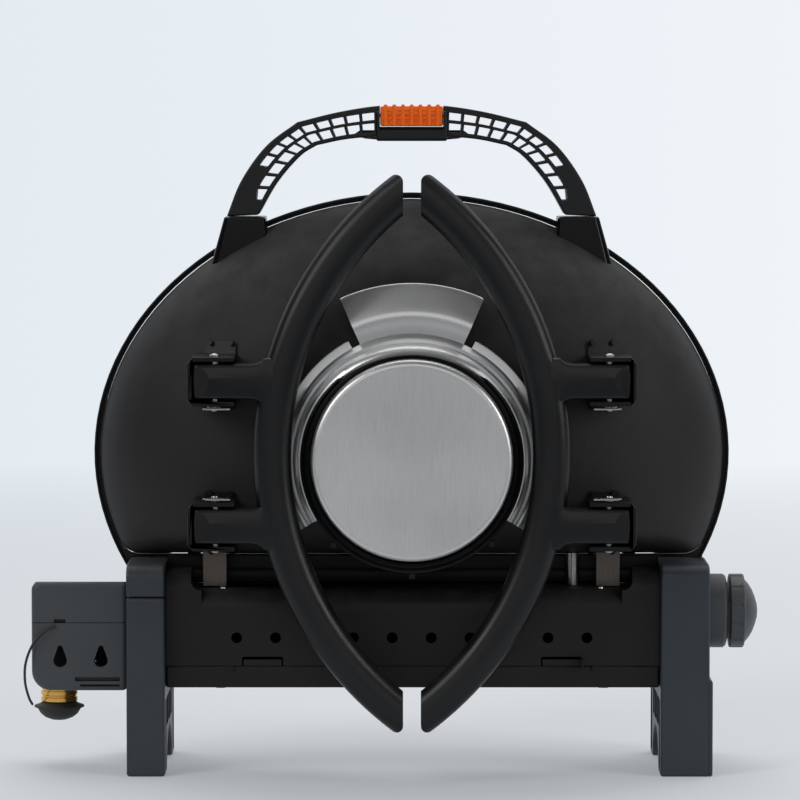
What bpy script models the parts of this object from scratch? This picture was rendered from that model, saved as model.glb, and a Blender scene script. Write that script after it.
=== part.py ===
"""Folding clam-shell propane grill, closed and standing upright on its two feet.

Frame: +Z up from the floor, X along the hinge side, -Y towards the bowl and its folded legs,
+Y towards the lid. Units are metres. The pieces are drawn about the bowl's own middle, where the
bowl and the lid meet at Y = 0, and the last step moves them all so that the origin lies under the
middle of the whole object.
"""
import math

import bmesh
import bpy
from mathutils import Matrix, Vector

MM = 0.001
GAP = 0.3 * MM
MIDDLE_X = 15.5 * MM
MIDDLE_Y = 6.5 * MM

# Bowl and lid: an ellipse cut off straight on the hinge side.
SHELL_Z = 243.5 * MM
SHELL_HALF_WIDTH = 241.0 * MM
SHELL_HALF_HEIGHT = 196.5 * MM
SHELL_CUT = 77.5 * MM
SHELL_CORNER = 16.0 * MM
BOWL_DEPTH = 100.0 * MM
LID_DEPTH = 119.0 * MM
SHELL_WALL = 2.0 * MM
RIM_DEPTH = 6.0 * MM
RIM_WIDTH = 5.0 * MM
RIM_CORNER = 9.0 * MM
RIM_GROOVE = 1.0 * MM
BOWL_RIM_CUT = 101.0 * MM
LID_RIM_CUT = 93.5 * MM
ARC_SIDES = 52
CORNER_SIDES = 5
STRAIGHT_SIDES = 10

# Burner opening, collar, drip tray and heat shield on the underside of the bowl.
TRAY_Z = 246.5 * MM
TRAY_RADIUS = 76.0 * MM
COLLAR_RADIUS = 86.0 * MM
COLLAR_INNER = 79.5 * MM
COLLAR_Y = -96.0 * MM
OPENING_RADIUS = 50.0 * MM
SHIELD_RADIUS = 98.0 * MM
SHIELD_TAB_RADIUS = 132.0 * MM
SHIELD_Y = -103.0 * MM

# Folding legs: two arcs with two arms each, hinged on vertical pins.
LEG_ARC_RADIUS = 247.0 * MM
LEG_ARC_CENTRE = 142.0 * MM
LEG_TIP_X = 6.7 * MM
LEG_Z = 251.0 * MM
LEG_Y = -120.0 * MM
LEG_HALF_WIDTH = 14.3 * MM
LEG_HALF_DEPTH = 12.0 * MM
ARM_Z = (306.0 * MM, 197.0 * MM)
ARM_HALF_HEIGHT = 13.0 * MM
ARM_HALF_DEPTH = 10.0 * MM
ARM_END_X = 163.5 * MM
PIN_X = 148.0 * MM
PIN_RADIUS = 3.0 * MM

# Hinge housing, feet and the axis that the lid swings on.
HOUSING_LEFT = -188.2 * MM
HOUSING_RIGHT = 189.7 * MM
HOUSING_FRONT = -60.0 * MM
HOUSING_BACK = 14.0 * MM
HOUSING_BOTTOM = 67.0 * MM
HOUSING_SEAM = 83.7 * MM
HOUSING_TOP = 142.0 * MM
HOUSING_END_TOP = 157.0 * MM
HOUSING_WALL = 1.6 * MM
FOOT_LEFT = (-218.0 * MM, -188.5 * MM)
FOOT_RIGHT = (190.0 * MM, 227.5 * MM)
FOOT_FRONT = -73.0 * MM
FOOT_BACK = 70.0 * MM
FOOT_TOP = 162.7 * MM
FOOT_SEAM = 137.5 * MM
HINGE_Y = 30.0 * MM
HINGE_Z = 148.0 * MM
HINGE_PIN_RADIUS = 4.0 * MM
BOSS_RADIUS = 18.0 * MM
RIM_SLOT_BOTTOM = 141.0 * MM

# Gas side: regulator box on the left, valve and knob on the right.
BOX_LEFT = -292.5 * MM
BOX_RIGHT = -218.4 * MM
BOX_FRONT = -45.0 * MM
BOX_BACK = 35.0 * MM
BOX_TOP = 147.0 * MM
BOX_BOTTOM = 62.5 * MM
BOX_SEAM = 115.5 * MM
INLET_X = -274.4 * MM
INLET_RADIUS = 14.2 * MM
KNOB_Z = 121.0 * MM
GAS_Y = -10.0 * MM
PIPE_Z = 110.0 * MM
KNOB_RADIUS = 28.6 * MM

# Carry handle: two lattice halves with an orange latch between the hands.
HANDLE_THICKNESS = 13.0 * MM
HANDLE_FRONT_Y = -20.0 * MM
HANDLE_BACK_Y = 7.0 * MM
LATCH_HALF_WIDTH = 24.2 * MM
LATCH_LOW = 496.0 * MM
LATCH_TOP = 513.0 * MM
LATCH_PIN_Y = -13.5 * MM
LATCH_PIN_Z = 504.5 * MM

# Finishes: colour, roughness, metallic.
CHARCOAL_PAINT = ((0.055, 0.053, 0.055), 0.62, 0.0)
BLACK_STEEL = ((0.02, 0.02, 0.022), 0.5, 0.0)
BLACK_PLASTIC = ((0.017, 0.018, 0.02), 0.45, 0.0)
GLOSS_BLACK = ((0.01, 0.01, 0.011), 0.15, 0.0)
BLUE_GREY_PLASTIC = ((0.035, 0.043, 0.05), 0.5, 0.0)
DARK_GREY_PLASTIC = ((0.03, 0.034, 0.037), 0.55, 0.0)
STAINLESS = ((0.55, 0.55, 0.56), 0.32, 1.0)
BARE_STEEL = ((0.35, 0.31, 0.28), 0.4, 1.0)
BRASS = ((0.62, 0.4, 0.12), 0.28, 1.0)
CAST_IRON = ((0.03, 0.03, 0.03), 0.7, 0.3)
RUBBER = ((0.012, 0.012, 0.012), 0.7, 0.0)
ORANGE_PLASTIC = ((0.9, 0.14, 0.0), 0.4, 0.0)

for leftover in list(bpy.data.objects):
    bpy.data.objects.remove(leftover, do_unlink=True)

grill = bpy.data.collections.new("propane_grill")
bpy.context.scene.collection.children.link(grill)
cutters = bpy.data.collections.new("cutters")
bpy.context.scene.collection.children.link(cutters)


# ---------------------------------------------------------------- shared ways of making a piece

def add_object(name, bm_or_mesh, finish, collection=grill):
    """Puts a mesh in the scene as one named object with its own material."""
    if isinstance(bm_or_mesh, bmesh.types.BMesh):
        mesh = bpy.data.meshes.new(name)
        bmesh.ops.recalc_face_normals(bm_or_mesh, faces=bm_or_mesh.faces)
        bm_or_mesh.to_mesh(mesh)
        bm_or_mesh.free()
    else:
        mesh = bm_or_mesh
    piece = bpy.data.objects.new(name, mesh)
    collection.objects.link(piece)
    if finish:
        colour, roughness, metallic = finish
        material = bpy.data.materials.new(name)
        material.use_nodes = True
        shader = material.node_tree.nodes["Principled BSDF"]
        shader.inputs["Base Color"].default_value = (*colour, 1.0)
        shader.inputs["Roughness"].default_value = roughness
        shader.inputs["Metallic"].default_value = metallic
        mesh.materials.append(material)
    return piece


def smooth(piece, angle=35):
    """Shades a round piece smooth, with its real edges kept sharp."""
    piece.data.shade_smooth()
    piece.data.set_sharp_from_angle(angle=math.radians(angle))
    return piece


def block(name, low, high, finish, bevel=0.0, segments=2):
    """A box between two corners, with optional rounded edges."""
    bm = bmesh.new()
    bmesh.ops.create_cube(bm, size=1.0)
    size = [high[i] - low[i] for i in range(3)]
    centre = [(high[i] + low[i]) / 2 for i in range(3)]
    bmesh.ops.scale(bm, vec=size, verts=bm.verts)
    bmesh.ops.translate(bm, vec=centre, verts=bm.verts)
    piece = add_object(name, bm, finish)
    if bevel:
        rounding = piece.modifiers.new("rounding", 'BEVEL')
        rounding.width = bevel
        rounding.segments = segments
    return piece


def rod(name, start, end, radius, finish, sides=16):
    """A round bar, or a cone, from one point to another."""
    start, end = Vector(start), Vector(end)
    bm = bmesh.new()
    bmesh.ops.create_cone(bm, cap_ends=True, segments=sides, radius1=radius,
                          radius2=radius,
                          depth=(end - start).length)
    turn = (end - start).to_track_quat('Z', 'Y').to_matrix().to_4x4()
    bmesh.ops.transform(bm, matrix=Matrix.Translation((start + end) / 2) @ turn, verts=bm.verts)
    return smooth(add_object(name, bm, finish))


def turned(name, profile, centre, direction, finish, steps=32):
    """A turned piece: a closed outline of (radius, height) points, spun about an axis."""
    area = sum(a[0] * b[1] - b[0] * a[1] for a, b in zip(profile, profile[1:] + profile[:1]))
    if area > 0:
        profile = profile[::-1]
    bm = bmesh.new()
    points = [bm.verts.new((radius, 0, height)) for radius, height in profile]
    for first, second in zip(points, points[1:] + points[:1]):
        if first.co.x > 0 or second.co.x > 0:
            bm.edges.new((first, second))
    piece = add_object(name, bm, finish)
    spin = piece.modifiers.new("spin", 'SCREW')
    spin.angle = math.tau
    spin.steps = steps
    spin.render_steps = steps
    spin.use_merge_vertices = True
    spin.merge_threshold = 0.00001
    turn = Vector(direction).to_track_quat('Z', 'Y').to_matrix().to_4x4()
    piece.matrix_world = Matrix.Translation(centre) @ turn
    return piece


def plate(name, outline, plane, start, end, finish, bevel=0.0, segments=2):
    """A flat outline pushed out from start to end along the axis that the plane leaves free."""
    bm = bmesh.new()
    place = {'XZ': lambda a, b: (a, start, b), 'YZ': lambda a, b: (start, a, b)}[plane]
    push = {'XZ': (0, 1, 0), 'YZ': (1, 0, 0)}[plane]
    face = bm.faces.new([bm.verts.new(place(a, b)) for a, b in outline])
    grown = bmesh.ops.extrude_face_region(bm, geom=[face])
    moved = [item for item in grown["geom"] if isinstance(item, bmesh.types.BMVert)]
    bmesh.ops.translate(bm, vec=Vector(push) * (end - start), verts=moved)
    piece = add_object(name, bm, finish)
    if bevel:
        rounding = piece.modifiers.new("rounding", 'BEVEL')
        rounding.width = bevel
        rounding.segments = segments
        rounding.limit_method = 'ANGLE'
        rounding.angle_limit = math.radians(40)
    return piece


def loft(name, rings, finish, closed=False, caps=True):
    """A skin through rings that all have the same number of points."""
    bm = bmesh.new()
    rows = [[bm.verts.new(point) for point in ring] for ring in rings]
    count = len(rows[0])
    pairs = list(zip(rows, rows[1:]))
    if closed:
        pairs.append((rows[-1], rows[0]))
    for low, high in pairs:
        for i in range(count):
            bm.faces.new((low[i], low[(i + 1) % count], high[(i + 1) % count], high[i]))
    if caps and not closed:
        bm.faces.new(rows[0])
        bm.faces.new(rows[-1])
    return smooth(add_object(name, bm, finish))


def tube(name, points, radius, finish, resolution=2):
    """A bent tube or wire through points, with filled ends."""
    curve = bpy.data.curves.new(name, 'CURVE')
    curve.dimensions = '3D'
    curve.bevel_depth = radius
    curve.bevel_resolution = resolution
    curve.use_fill_caps = True
    spline = curve.splines.new('POLY')
    spline.points.add(len(points) - 1)
    for place, point in zip(spline.points, points):
        place.co = (*point, 1.0)
    return add_object(name, curve, finish)


def as_mesh(piece):
    """Turns a curve, or a piece with modifiers, into a plain welded mesh."""
    depsgraph = bpy.context.evaluated_depsgraph_get()
    mesh = bpy.data.meshes.new_from_object(piece.evaluated_get(depsgraph))
    bm = bmesh.new()
    bm.from_mesh(mesh)
    bmesh.ops.remove_doubles(bm, verts=bm.verts, dist=0.000001)
    bm.to_mesh(mesh)
    bm.free()
    name, place = piece.name, piece.matrix_world.copy()
    bpy.data.objects.remove(piece, do_unlink=True)
    solid = bpy.data.objects.new(name, mesh)
    solid.name = name
    solid.matrix_world = place
    grill.objects.link(solid)
    return solid


def combine(piece, other, operation='DIFFERENCE'):
    """Cuts a piece with another, or joins another to it."""
    other.hide_render = True
    other.display_type = 'WIRE'
    if other.name in grill.objects:
        grill.objects.unlink(other)
        cutters.objects.link(other)
    step = piece.modifiers.new("boolean", 'BOOLEAN')
    step.operation = operation
    step.object = other
    step.solver = 'EXACT'
    return piece


def curve_through(points, count):
    """Evenly numbered points of a smooth curve through the given ones."""
    padded = [2 * points[0] - points[1], *points, 2 * points[-1] - points[-2]]
    result = []
    for i in range(count):
        place = i / (count - 1) * (len(points) - 1)
        k = min(int(place), len(points) - 2)
        t = place - k
        a, b, c, d = padded[k:k + 4]
        result.append(0.5 * (2 * b + (c - a) * t + (2 * a - 5 * b + 4 * c - d) * t ** 2
                             + (3 * b - a - 3 * c + d) * t ** 3))
    return result


def set_origin(piece, point):
    """Moves a piece's origin to a point and leaves its shape in place."""
    offset = Vector(point) - piece.location
    piece.data.transform(Matrix.Translation(-offset))
    piece.location = piece.location + offset
    return piece


# ---------------------------------------------------------------- bowl and lid

def shell_outline(half_width, half_height, cut, corner):
    """Points of an ellipse whose lower part is cut off straight, with rounded corners at the cut."""

    def corner_centre(angle):
        slope = Vector((math.cos(angle) / half_width, math.sin(angle) / half_height)).normalized()
        edge = Vector((half_width * math.cos(angle), half_height * math.sin(angle)))
        return edge - corner * slope, slope

    low, high = -math.pi / 2, 0.0
    for _ in range(50):
        start = (low + high) / 2
        if corner_centre(start)[0].y < corner - cut:
            low = start
        else:
            high = start
    centre, slope = corner_centre(start)
    sweep = math.pi - 2 * start
    points = [(half_width * math.cos(start + sweep * i / ARC_SIDES),
               half_height * math.sin(start + sweep * i / ARC_SIDES)) for i in range(ARC_SIDES + 1)]
    turn = math.pi / 2 + math.atan2(slope.y, slope.x)
    for i in range(1, CORNER_SIDES + 1):
        angle = -math.pi / 2 - turn * (1 - i / CORNER_SIDES)
        points.append((-centre.x + corner * math.cos(angle), centre.y + corner * math.sin(angle)))
    points += [(centre.x * (2 * i / STRAIGHT_SIDES - 1), -cut) for i in range(1, STRAIGHT_SIDES + 1)]
    for i in range(1, CORNER_SIDES):
        angle = -math.pi / 2 + turn * i / CORNER_SIDES
        points.append((centre.x + corner * math.cos(angle), centre.y + corner * math.sin(angle)))
    return points


def shell_ring(scale, y, grow=0.0):
    """The shell's outline at a given scale and depth."""
    ring = []
    for x, z in shell_outline(SHELL_HALF_WIDTH, SHELL_HALF_HEIGHT, SHELL_CUT, SHELL_CORNER):
        reach = SHELL_CUT if z < 0 else SHELL_HALF_HEIGHT
        ring.append(((scale + grow / SHELL_HALF_WIDTH) * x, y, SHELL_Z + (scale + grow / reach) * z))
    return ring


def rim_ring(y, width, cut):
    """The rim's outline: the shell's ellipse, wider all round and cut off lower down."""
    outline = shell_outline(SHELL_HALF_WIDTH + width, SHELL_HALF_HEIGHT + width, cut, RIM_CORNER)
    return [(x, y, SHELL_Z + z) for x, z in outline]


def dome_depth(scale, depth):
    """How far the dome stands out at a given scale of its outline."""
    return depth * (1 - scale ** 3.2) ** (1 / 1.5)


def dome(name, side, depth, finish):
    """A pressed shell with a straight band at its mouth; side is -1 for the bowl, 1 for the lid."""
    mouth = side * (RIM_DEPTH + 1.0 * MM)
    scales = (0.995, 0.97, 0.93, 0.87, 0.8, 0.72, 0.62, 0.5, 0.36)
    rings = [shell_ring(1.0, side * 1.0 * MM), shell_ring(1.0, mouth)]
    rings += [shell_ring(s, mouth + side * dome_depth(s, depth - RIM_DEPTH)) for s in scales]
    piece = loft(name, rings, finish, caps=False)
    bm = bmesh.new()
    bm.from_mesh(piece.data)
    hub = [v for v in bm.verts if abs(v.co.y - rings[-1][0][1]) < 0.000001]
    bmesh.ops.contextual_create(bm, geom=hub)
    bmesh.ops.recalc_face_normals(bm, faces=bm.faces)
    if sum(face.normal.y * side for face in bm.faces if len(face.verts) > 4) < 0:
        bmesh.ops.reverse_faces(bm, faces=bm.faces)
    bm.to_mesh(piece.data)
    bm.free()
    wall = piece.modifiers.new("wall", 'SOLIDIFY')
    wall.thickness = SHELL_WALL
    wall.offset = -1.0
    return smooth(piece)


def rim(name, side, cut):
    """The black edge round a shell's mouth, with a groove in it and a deep flange on the hinge side."""
    near, middle, far = (side * depth for depth in (0.5 * MM, 3.5 * MM, RIM_DEPTH + 0.5 * MM))
    rings = [shell_ring(1.0, near, 2 * GAP), rim_ring(near, RIM_WIDTH, cut),
             rim_ring(middle, RIM_WIDTH - RIM_GROOVE, cut - RIM_GROOVE), rim_ring(far, RIM_WIDTH, cut),
             shell_ring(1.0, far, 2 * GAP)]
    return loft(name, rings, BLACK_STEEL, closed=True)


def seat_on_shell(piece, side):
    """Trims a piece to stand on a shell's dome and rim with a hair's gap."""
    depth = BOWL_DEPTH if side < 0 else LID_DEPTH
    mouth = side * (RIM_DEPTH + 1.0 * MM)
    scales = (0.995, 0.97, 0.93, 0.87, 0.8, 0.72, 0.62, 0.5, 0.36)
    rings = [rim_ring(side * 0.2 * MM, RIM_WIDTH + GAP, BOWL_RIM_CUT + GAP),
             rim_ring(side * (RIM_DEPTH + 0.8 * MM), RIM_WIDTH + GAP, BOWL_RIM_CUT + GAP),
             shell_ring(1.0, mouth + side * GAP, GAP)]
    rings += [shell_ring(s, mouth + side * (dome_depth(s, depth - RIM_DEPTH) + 0.6 * MM), GAP)
              for s in scales]
    return combine(piece, loft(f"{piece.name}_seat", rings, None))


bowl = dome("bowl_shell", -1, BOWL_DEPTH, CHARCOAL_PAINT)
combine(bowl, rod("bowl_opening", (0, -120 * MM, SHELL_Z), (0, -60 * MM, SHELL_Z), OPENING_RADIUS,
                  None, sides=40))
rim("bowl_rim", -1, BOWL_RIM_CUT)
dome("lid_shell", 1, LID_DEPTH, CHARCOAL_PAINT)
rim("lid_rim", 1, LID_RIM_CUT)


# ---------------------------------------------------------------- cooking parts inside the bowl

def grate(name, sign):
    """Half of the cooking grate: a cast plate with a row of slots."""
    half_width, half_height, thick = 190 * MM, 125 * MM, 6 * MM
    outline = []
    for i in range(17):
        angle = math.pi * i / 16 - math.pi / 2
        outline.append((sign * (2 * MM + half_width * math.cos(angle)),
                        SHELL_Z + 45 * MM + max(half_height * math.sin(angle), -88 * MM)))
    outline = [outline[i] for i in range(17) if i == 0 or outline[i] != outline[i - 1]]
    piece = plate(name, outline, 'XZ', -22 * MM, -22 * MM + thick, CAST_IRON)
    slots = None
    for i in range(9):
        x = sign * (18 + 17 * i) * MM
        reach = half_height * math.sqrt(max(1 - (abs(x) / half_width + 0.08) ** 2, 0.05)) - 12 * MM
        low = max(-reach, -76 * MM)
        slot = block(f"{name}_slot_{i}", (x - 4 * MM, -30 * MM, SHELL_Z + 45 * MM + low),
                     (x + 4 * MM, -10 * MM, SHELL_Z + 45 * MM + reach), None)
        slots = slot if slots is None else combine(slots, slot, 'UNION')
    return combine(piece, slots)


grate("cooking_grate_left", -1)
grate("cooking_grate_right", 1)

turned("burner_ring", [(52 * MM, 6 * MM), (52 * MM, -6 * MM), (42 * MM, -6 * MM), (42 * MM, 6 * MM)],
       (0, -62 * MM, SHELL_Z), (0, -1, 0), STAINLESS)
plate("flame_tamer", [(-70 * MM, SHELL_Z - 45 * MM), (70 * MM, SHELL_Z - 45 * MM),
                      (70 * MM, SHELL_Z + 45 * MM), (-70 * MM, SHELL_Z + 45 * MM)], 'XZ',
      -46 * MM, -44 * MM, STAINLESS)
rod("igniter_electrode", (0, -58 * MM, SHELL_Z + 34 * MM), (0, -74 * MM, SHELL_Z + 34 * MM),
    3 * MM, GLOSS_BLACK, sides=12)


# ---------------------------------------------------------------- collar, drip tray, heat shield

turned("tray_collar",
       [(OPENING_RADIUS - 4 * MM, -8 * MM), (OPENING_RADIUS - 2 * MM, -8 * MM),
        (OPENING_RADIUS - 2 * MM, 6 * MM), (COLLAR_RADIUS, 6 * MM), (COLLAR_RADIUS, 17 * MM),
        (COLLAR_RADIUS - 2 * MM, 20 * MM), (COLLAR_INNER + 1 * MM, 20 * MM),
        (COLLAR_INNER + 1 * MM, 8 * MM), (OPENING_RADIUS - 4 * MM, 8 * MM)],
       (0, COLLAR_Y, SHELL_Z), (0, -1, 0), BLACK_STEEL, steps=48)

turned("grease_tray",
       [(0, 34 * MM), (TRAY_RADIUS - 6 * MM, 34 * MM), (TRAY_RADIUS - 1.5 * MM, 32 * MM),
        (TRAY_RADIUS, 28 * MM), (TRAY_RADIUS, 16 * MM), (TRAY_RADIUS - 1.2 * MM, 16 * MM),
        (TRAY_RADIUS - 1.2 * MM, 28 * MM), (TRAY_RADIUS - 2.5 * MM, 31 * MM),
        (TRAY_RADIUS - 6 * MM, 32.8 * MM), (0, 32.8 * MM)],
       (0, COLLAR_Y, TRAY_Z), (0, -1, 0), STAINLESS, steps=48)


def shield():
    """The C-shaped stainless plate that keeps the heat off the folded legs."""
    wing_low, wing_high = math.radians(-32), math.radians(212)
    tab_half = math.radians(24)
    hole = COLLAR_RADIUS + 1.5 * MM
    outer = []
    for i in range(49):
        angle = wing_low + (wing_high - wing_low) * i / 48
        in_tab = abs(angle - math.pi / 2) < tab_half
        radius = SHIELD_TAB_RADIUS if in_tab else SHIELD_RADIUS
        outer.append((radius * math.cos(angle), SHELL_Z + radius * math.sin(angle)))
    inner = []
    for i in range(49):
        angle = wing_high + (wing_low - wing_high) * i / 48
        inner.append((hole * math.cos(angle), SHELL_Z + hole * math.sin(angle)))
    return plate("heat_shield", outer + inner, 'XZ', SHIELD_Y, SHIELD_Y + 1.2 * MM, STAINLESS)


shield()


# ---------------------------------------------------------------- folding legs and their brackets

def leg(name, sign):
    """An oval tube bent to an arc, cut upright at both tips, with two arms to the pins."""
    sides, stations = 16, 28
    section = []
    for i in range(sides):
        angle = math.tau * i / sides
        section.append((LEG_HALF_WIDTH * math.copysign(abs(math.cos(angle)) ** 0.85, math.cos(angle)),
                        LEG_HALF_DEPTH * math.copysign(abs(math.sin(angle)) ** 0.85, math.sin(angle))))
    rings = []
    for k in range(stations + 1):
        ring = []
        for across, deep in section:
            radius = LEG_ARC_RADIUS + across
            reach = math.acos((LEG_ARC_CENTRE + LEG_TIP_X) / radius)
            angle = reach * (2 * k / stations - 1)
            ring.append((sign * (LEG_ARC_CENTRE - radius * math.cos(angle)) * -1, LEG_Y + deep,
                         LEG_Z + radius * math.sin(angle)))
        rings.append(ring)
    tube_part = loft(name, rings, BLACK_PLASTIC)
    rounding = tube_part.modifiers.new("rounding", 'BEVEL')
    rounding.width = 2.0 * MM
    rounding.segments = 2
    rounding.limit_method = 'ANGLE'
    rounding.angle_limit = math.radians(50)
    tube_part = as_mesh(tube_part)
    for arm_z in ARM_Z:
        lean = -1 if arm_z > LEG_Z else 1
        inner = 99 * MM
        arm = block(f"{name}_arm_{round(arm_z * 1000)}",
                    (min(sign * inner, sign * ARM_END_X), LEG_Y - ARM_HALF_DEPTH, arm_z - ARM_HALF_HEIGHT),
                    (max(sign * inner, sign * ARM_END_X), LEG_Y + ARM_HALF_DEPTH, arm_z + ARM_HALF_HEIGHT),
                    None, bevel=4 * MM, segments=3)
        combine(tube_part, arm, 'UNION')
        fillet = plate(f"{name}_fillet_{round(arm_z * 1000)}",
                       [(sign * 122 * MM, arm_z - lean * 10 * MM), (sign * 104 * MM, arm_z + lean * 28 * MM),
                        (sign * 98 * MM, arm_z), (sign * 104 * MM, arm_z - lean * 22 * MM)],
                       'XZ', LEG_Y - 7 * MM, LEG_Y + 7 * MM, None)
        combine(tube_part, fillet, 'UNION')
        bore = rod(f"{name}_bore_{round(arm_z * 1000)}",
                   (sign * PIN_X, LEG_Y, arm_z - 20 * MM), (sign * PIN_X, LEG_Y, arm_z + 20 * MM),
                   PIN_RADIUS + GAP, None, sides=16)
        combine(tube_part, bore)
    solid = as_mesh(tube_part)
    return set_origin(smooth(solid), (sign * PIN_X, LEG_Y, LEG_Z))


def bracket(name, sign, arm_z):
    """A folded sheet bracket that stands on the bowl: two ears, a back wall and a base."""
    ear_gap, sheet = ARM_HALF_HEIGHT + 1.0 * MM, 2.0 * MM
    floor_y, front_y, root_y = -100 * MM, LEG_Y - 8 * MM, -56 * MM

    def slab(label, x_low, x_high, y_low, y_high, half_height, finish=None):
        return block(label, (min(sign * x_low, sign * x_high), y_low, arm_z - half_height),
                     (max(sign * x_low, sign * x_high), y_high, arm_z + half_height), finish)

    body = slab(name, 136 * MM, 168.5 * MM, front_y, root_y, ear_gap + sheet, BLACK_STEEL)
    combine(body, slab(f"{name}_flange", 135 * MM, 159 * MM, floor_y + 6 * MM, root_y + 1 * MM,
                       ear_gap + 13 * MM), 'UNION')
    combine(body, slab(f"{name}_channel", 120 * MM, 166.5 * MM, front_y - 5 * MM, floor_y, ear_gap))
    combine(body, rod(f"{name}_bore", (sign * PIN_X, LEG_Y, arm_z - 25 * MM),
                      (sign * PIN_X, LEG_Y, arm_z + 25 * MM), PIN_RADIUS + GAP, None, sides=16))
    return seat_on_shell(body, -1)


for side_name, side in (("left", -1), ("right", 1)):
    leg(f"{side_name}_leg", side)
    for level, height in zip(("upper", "lower"), ARM_Z):
        outward = 1 if height > LEG_Z else -1
        label = f"{side_name}_{level}"
        bracket(f"{label}_bracket", side, height)
        head = height + outward * (ARM_HALF_HEIGHT + 3.3 * MM)
        tail = height - outward * (ARM_HALF_HEIGHT + 7 * MM)
        x = side * PIN_X
        turned(f"{label}_pin",
               [(0, 2 * MM), (4.5 * MM, 2 * MM), (5 * MM, 1.2 * MM), (5 * MM, 0), (PIN_RADIUS, 0),
                (PIN_RADIUS, -abs(tail - head)), (0, -abs(tail - head))],
               (x, LEG_Y, head), (0, 0, outward), STAINLESS, steps=16)
        turned(f"{label}_spring_clip",
               [(9 * MM, 1.2 * MM), (9 * MM, 0), (PIN_RADIUS + GAP, 0), (PIN_RADIUS + GAP, 1.2 * MM)],
               (x, LEG_Y, height - outward * (ARM_HALF_HEIGHT + 3.4 * MM)), (0, 0, -outward),
               STAINLESS, steps=20)


# ---------------------------------------------------------------- hinge housing

def housing_outline(front, back, bottom, top, radius):
    """The housing's side profile: square at the back, rounded along its upper front edge."""
    points = [(front, bottom), (back, bottom), (back, top)]
    for i in range(7):
        angle = math.pi / 2 + math.pi / 2 * i / 6
        points.append((front + radius + radius * math.cos(angle), top - radius + radius * math.sin(angle)))
    return points


def upper_housing():
    """The painted sheet cover: higher at both ends, with a row of air holes in front."""
    wall = HOUSING_WALL
    body = plate("housing_cover",
                 housing_outline(HOUSING_FRONT, HOUSING_BACK, HOUSING_SEAM + GAP, HOUSING_TOP, 16 * MM),
                 'YZ', HOUSING_LEFT, HOUSING_RIGHT, BLACK_STEEL)
    for label, low, high in (("left", HOUSING_LEFT, -171 * MM), ("right", 180 * MM, HOUSING_RIGHT)):
        shoulder = plate(f"housing_shoulder_{label}",
                         housing_outline(HOUSING_FRONT, -22 * MM, HOUSING_TOP - 20 * MM,
                                         HOUSING_END_TOP, 16 * MM), 'YZ', low, high, None)
        combine(body, shoulder, 'UNION')
    hollow = plate("housing_hollow",
                   housing_outline(HOUSING_FRONT + wall, HOUSING_BACK - wall, HOUSING_SEAM - 5 * MM,
                                   HOUSING_TOP - wall, 14.5 * MM),
                   'YZ', HOUSING_LEFT + wall, HOUSING_RIGHT - wall, None)
    combine(body, hollow)
    for i in range(10):
        x = (i - 4.5) * 29.8 * MM
        combine(body, rod(f"air_hole_{i}", (x, -80 * MM, 105.4 * MM), (x, -50 * MM, 105.4 * MM),
                          4.2 * MM, None, sides=12))
    for label, low in (("left", -129 * MM), ("right", 100 * MM)):
        combine(body, block(f"housing_slot_{label}", (low, -80 * MM, 88.6 * MM),
                            (low + 29.5 * MM, -50 * MM, 90.9 * MM), None))
    for label, x, z in (("left", HOUSING_LEFT, PIPE_Z), ("right", HOUSING_RIGHT, KNOB_Z)):
        combine(body, rod(f"end_hole_{label}", (x - 5 * MM, GAS_Y, z), (x + 5 * MM, GAS_Y, z),
                          9 * MM, None, sides=16))
    return body


upper_housing()
floor_tray = block("housing_floor", (HOUSING_LEFT, HOUSING_FRONT, HOUSING_BOTTOM),
                   (HOUSING_RIGHT, HOUSING_BACK, HOUSING_SEAM), BLACK_STEEL)
combine(floor_tray, block("housing_floor_hollow",
                          (HOUSING_LEFT + 2 * MM, HOUSING_FRONT + 1.6 * MM, HOUSING_BOTTOM + 1.6 * MM),
                          (HOUSING_RIGHT - 2 * MM, HOUSING_BACK - 1.6 * MM, HOUSING_SEAM + 5 * MM), None))

for strap_name, low in (("left_hinge_strap", -161 * MM), ("right_hinge_strap", 142 * MM)):
    seat_on_shell(block(strap_name, (low, -34 * MM, HOUSING_TOP + GAP), (low + 18.5 * MM, -32 * MM, 171 * MM),
                        BARE_STEEL), -1)


# ---------------------------------------------------------------- feet and lid hinge

def foot_head(bottom):
    """The upper part of a foot, seen from the side: a hinge boss, a slot for the rims, a front block."""
    points = [(46 * MM, bottom)]
    for i in range(10):
        angle = math.radians(-20 + 200 * i / 9)
        points.append((HINGE_Y + BOSS_RADIUS * math.cos(angle), HINGE_Z + BOSS_RADIUS * math.sin(angle)))
    return points + [(HINGE_Y - BOSS_RADIUS, RIM_SLOT_BOTTOM), (-9 * MM, RIM_SLOT_BOTTOM),
                     (-9 * MM, 160 * MM), (-12 * MM, FOOT_TOP), (-60 * MM, FOOT_TOP), (-69 * MM, 160 * MM),
                     (FOOT_FRONT, 152 * MM)]


def foot_base():
    """The lower part of a foot, seen from the side: two legs under an arch, with a flared heel."""
    points = [(FOOT_FRONT, 0), (FOOT_FRONT + 27 * MM, 0)]
    for i in range(9):
        angle = math.pi - math.pi * i / 8
        points.append((-1.5 * MM + 38 * MM * math.cos(angle), 6 * MM + 24 * MM * math.sin(angle)))
    return points + [(FOOT_BACK - 27 * MM, 0), (FOOT_BACK, 0), (FOOT_BACK, 66 * MM), (46 * MM, 104 * MM)]


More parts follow.
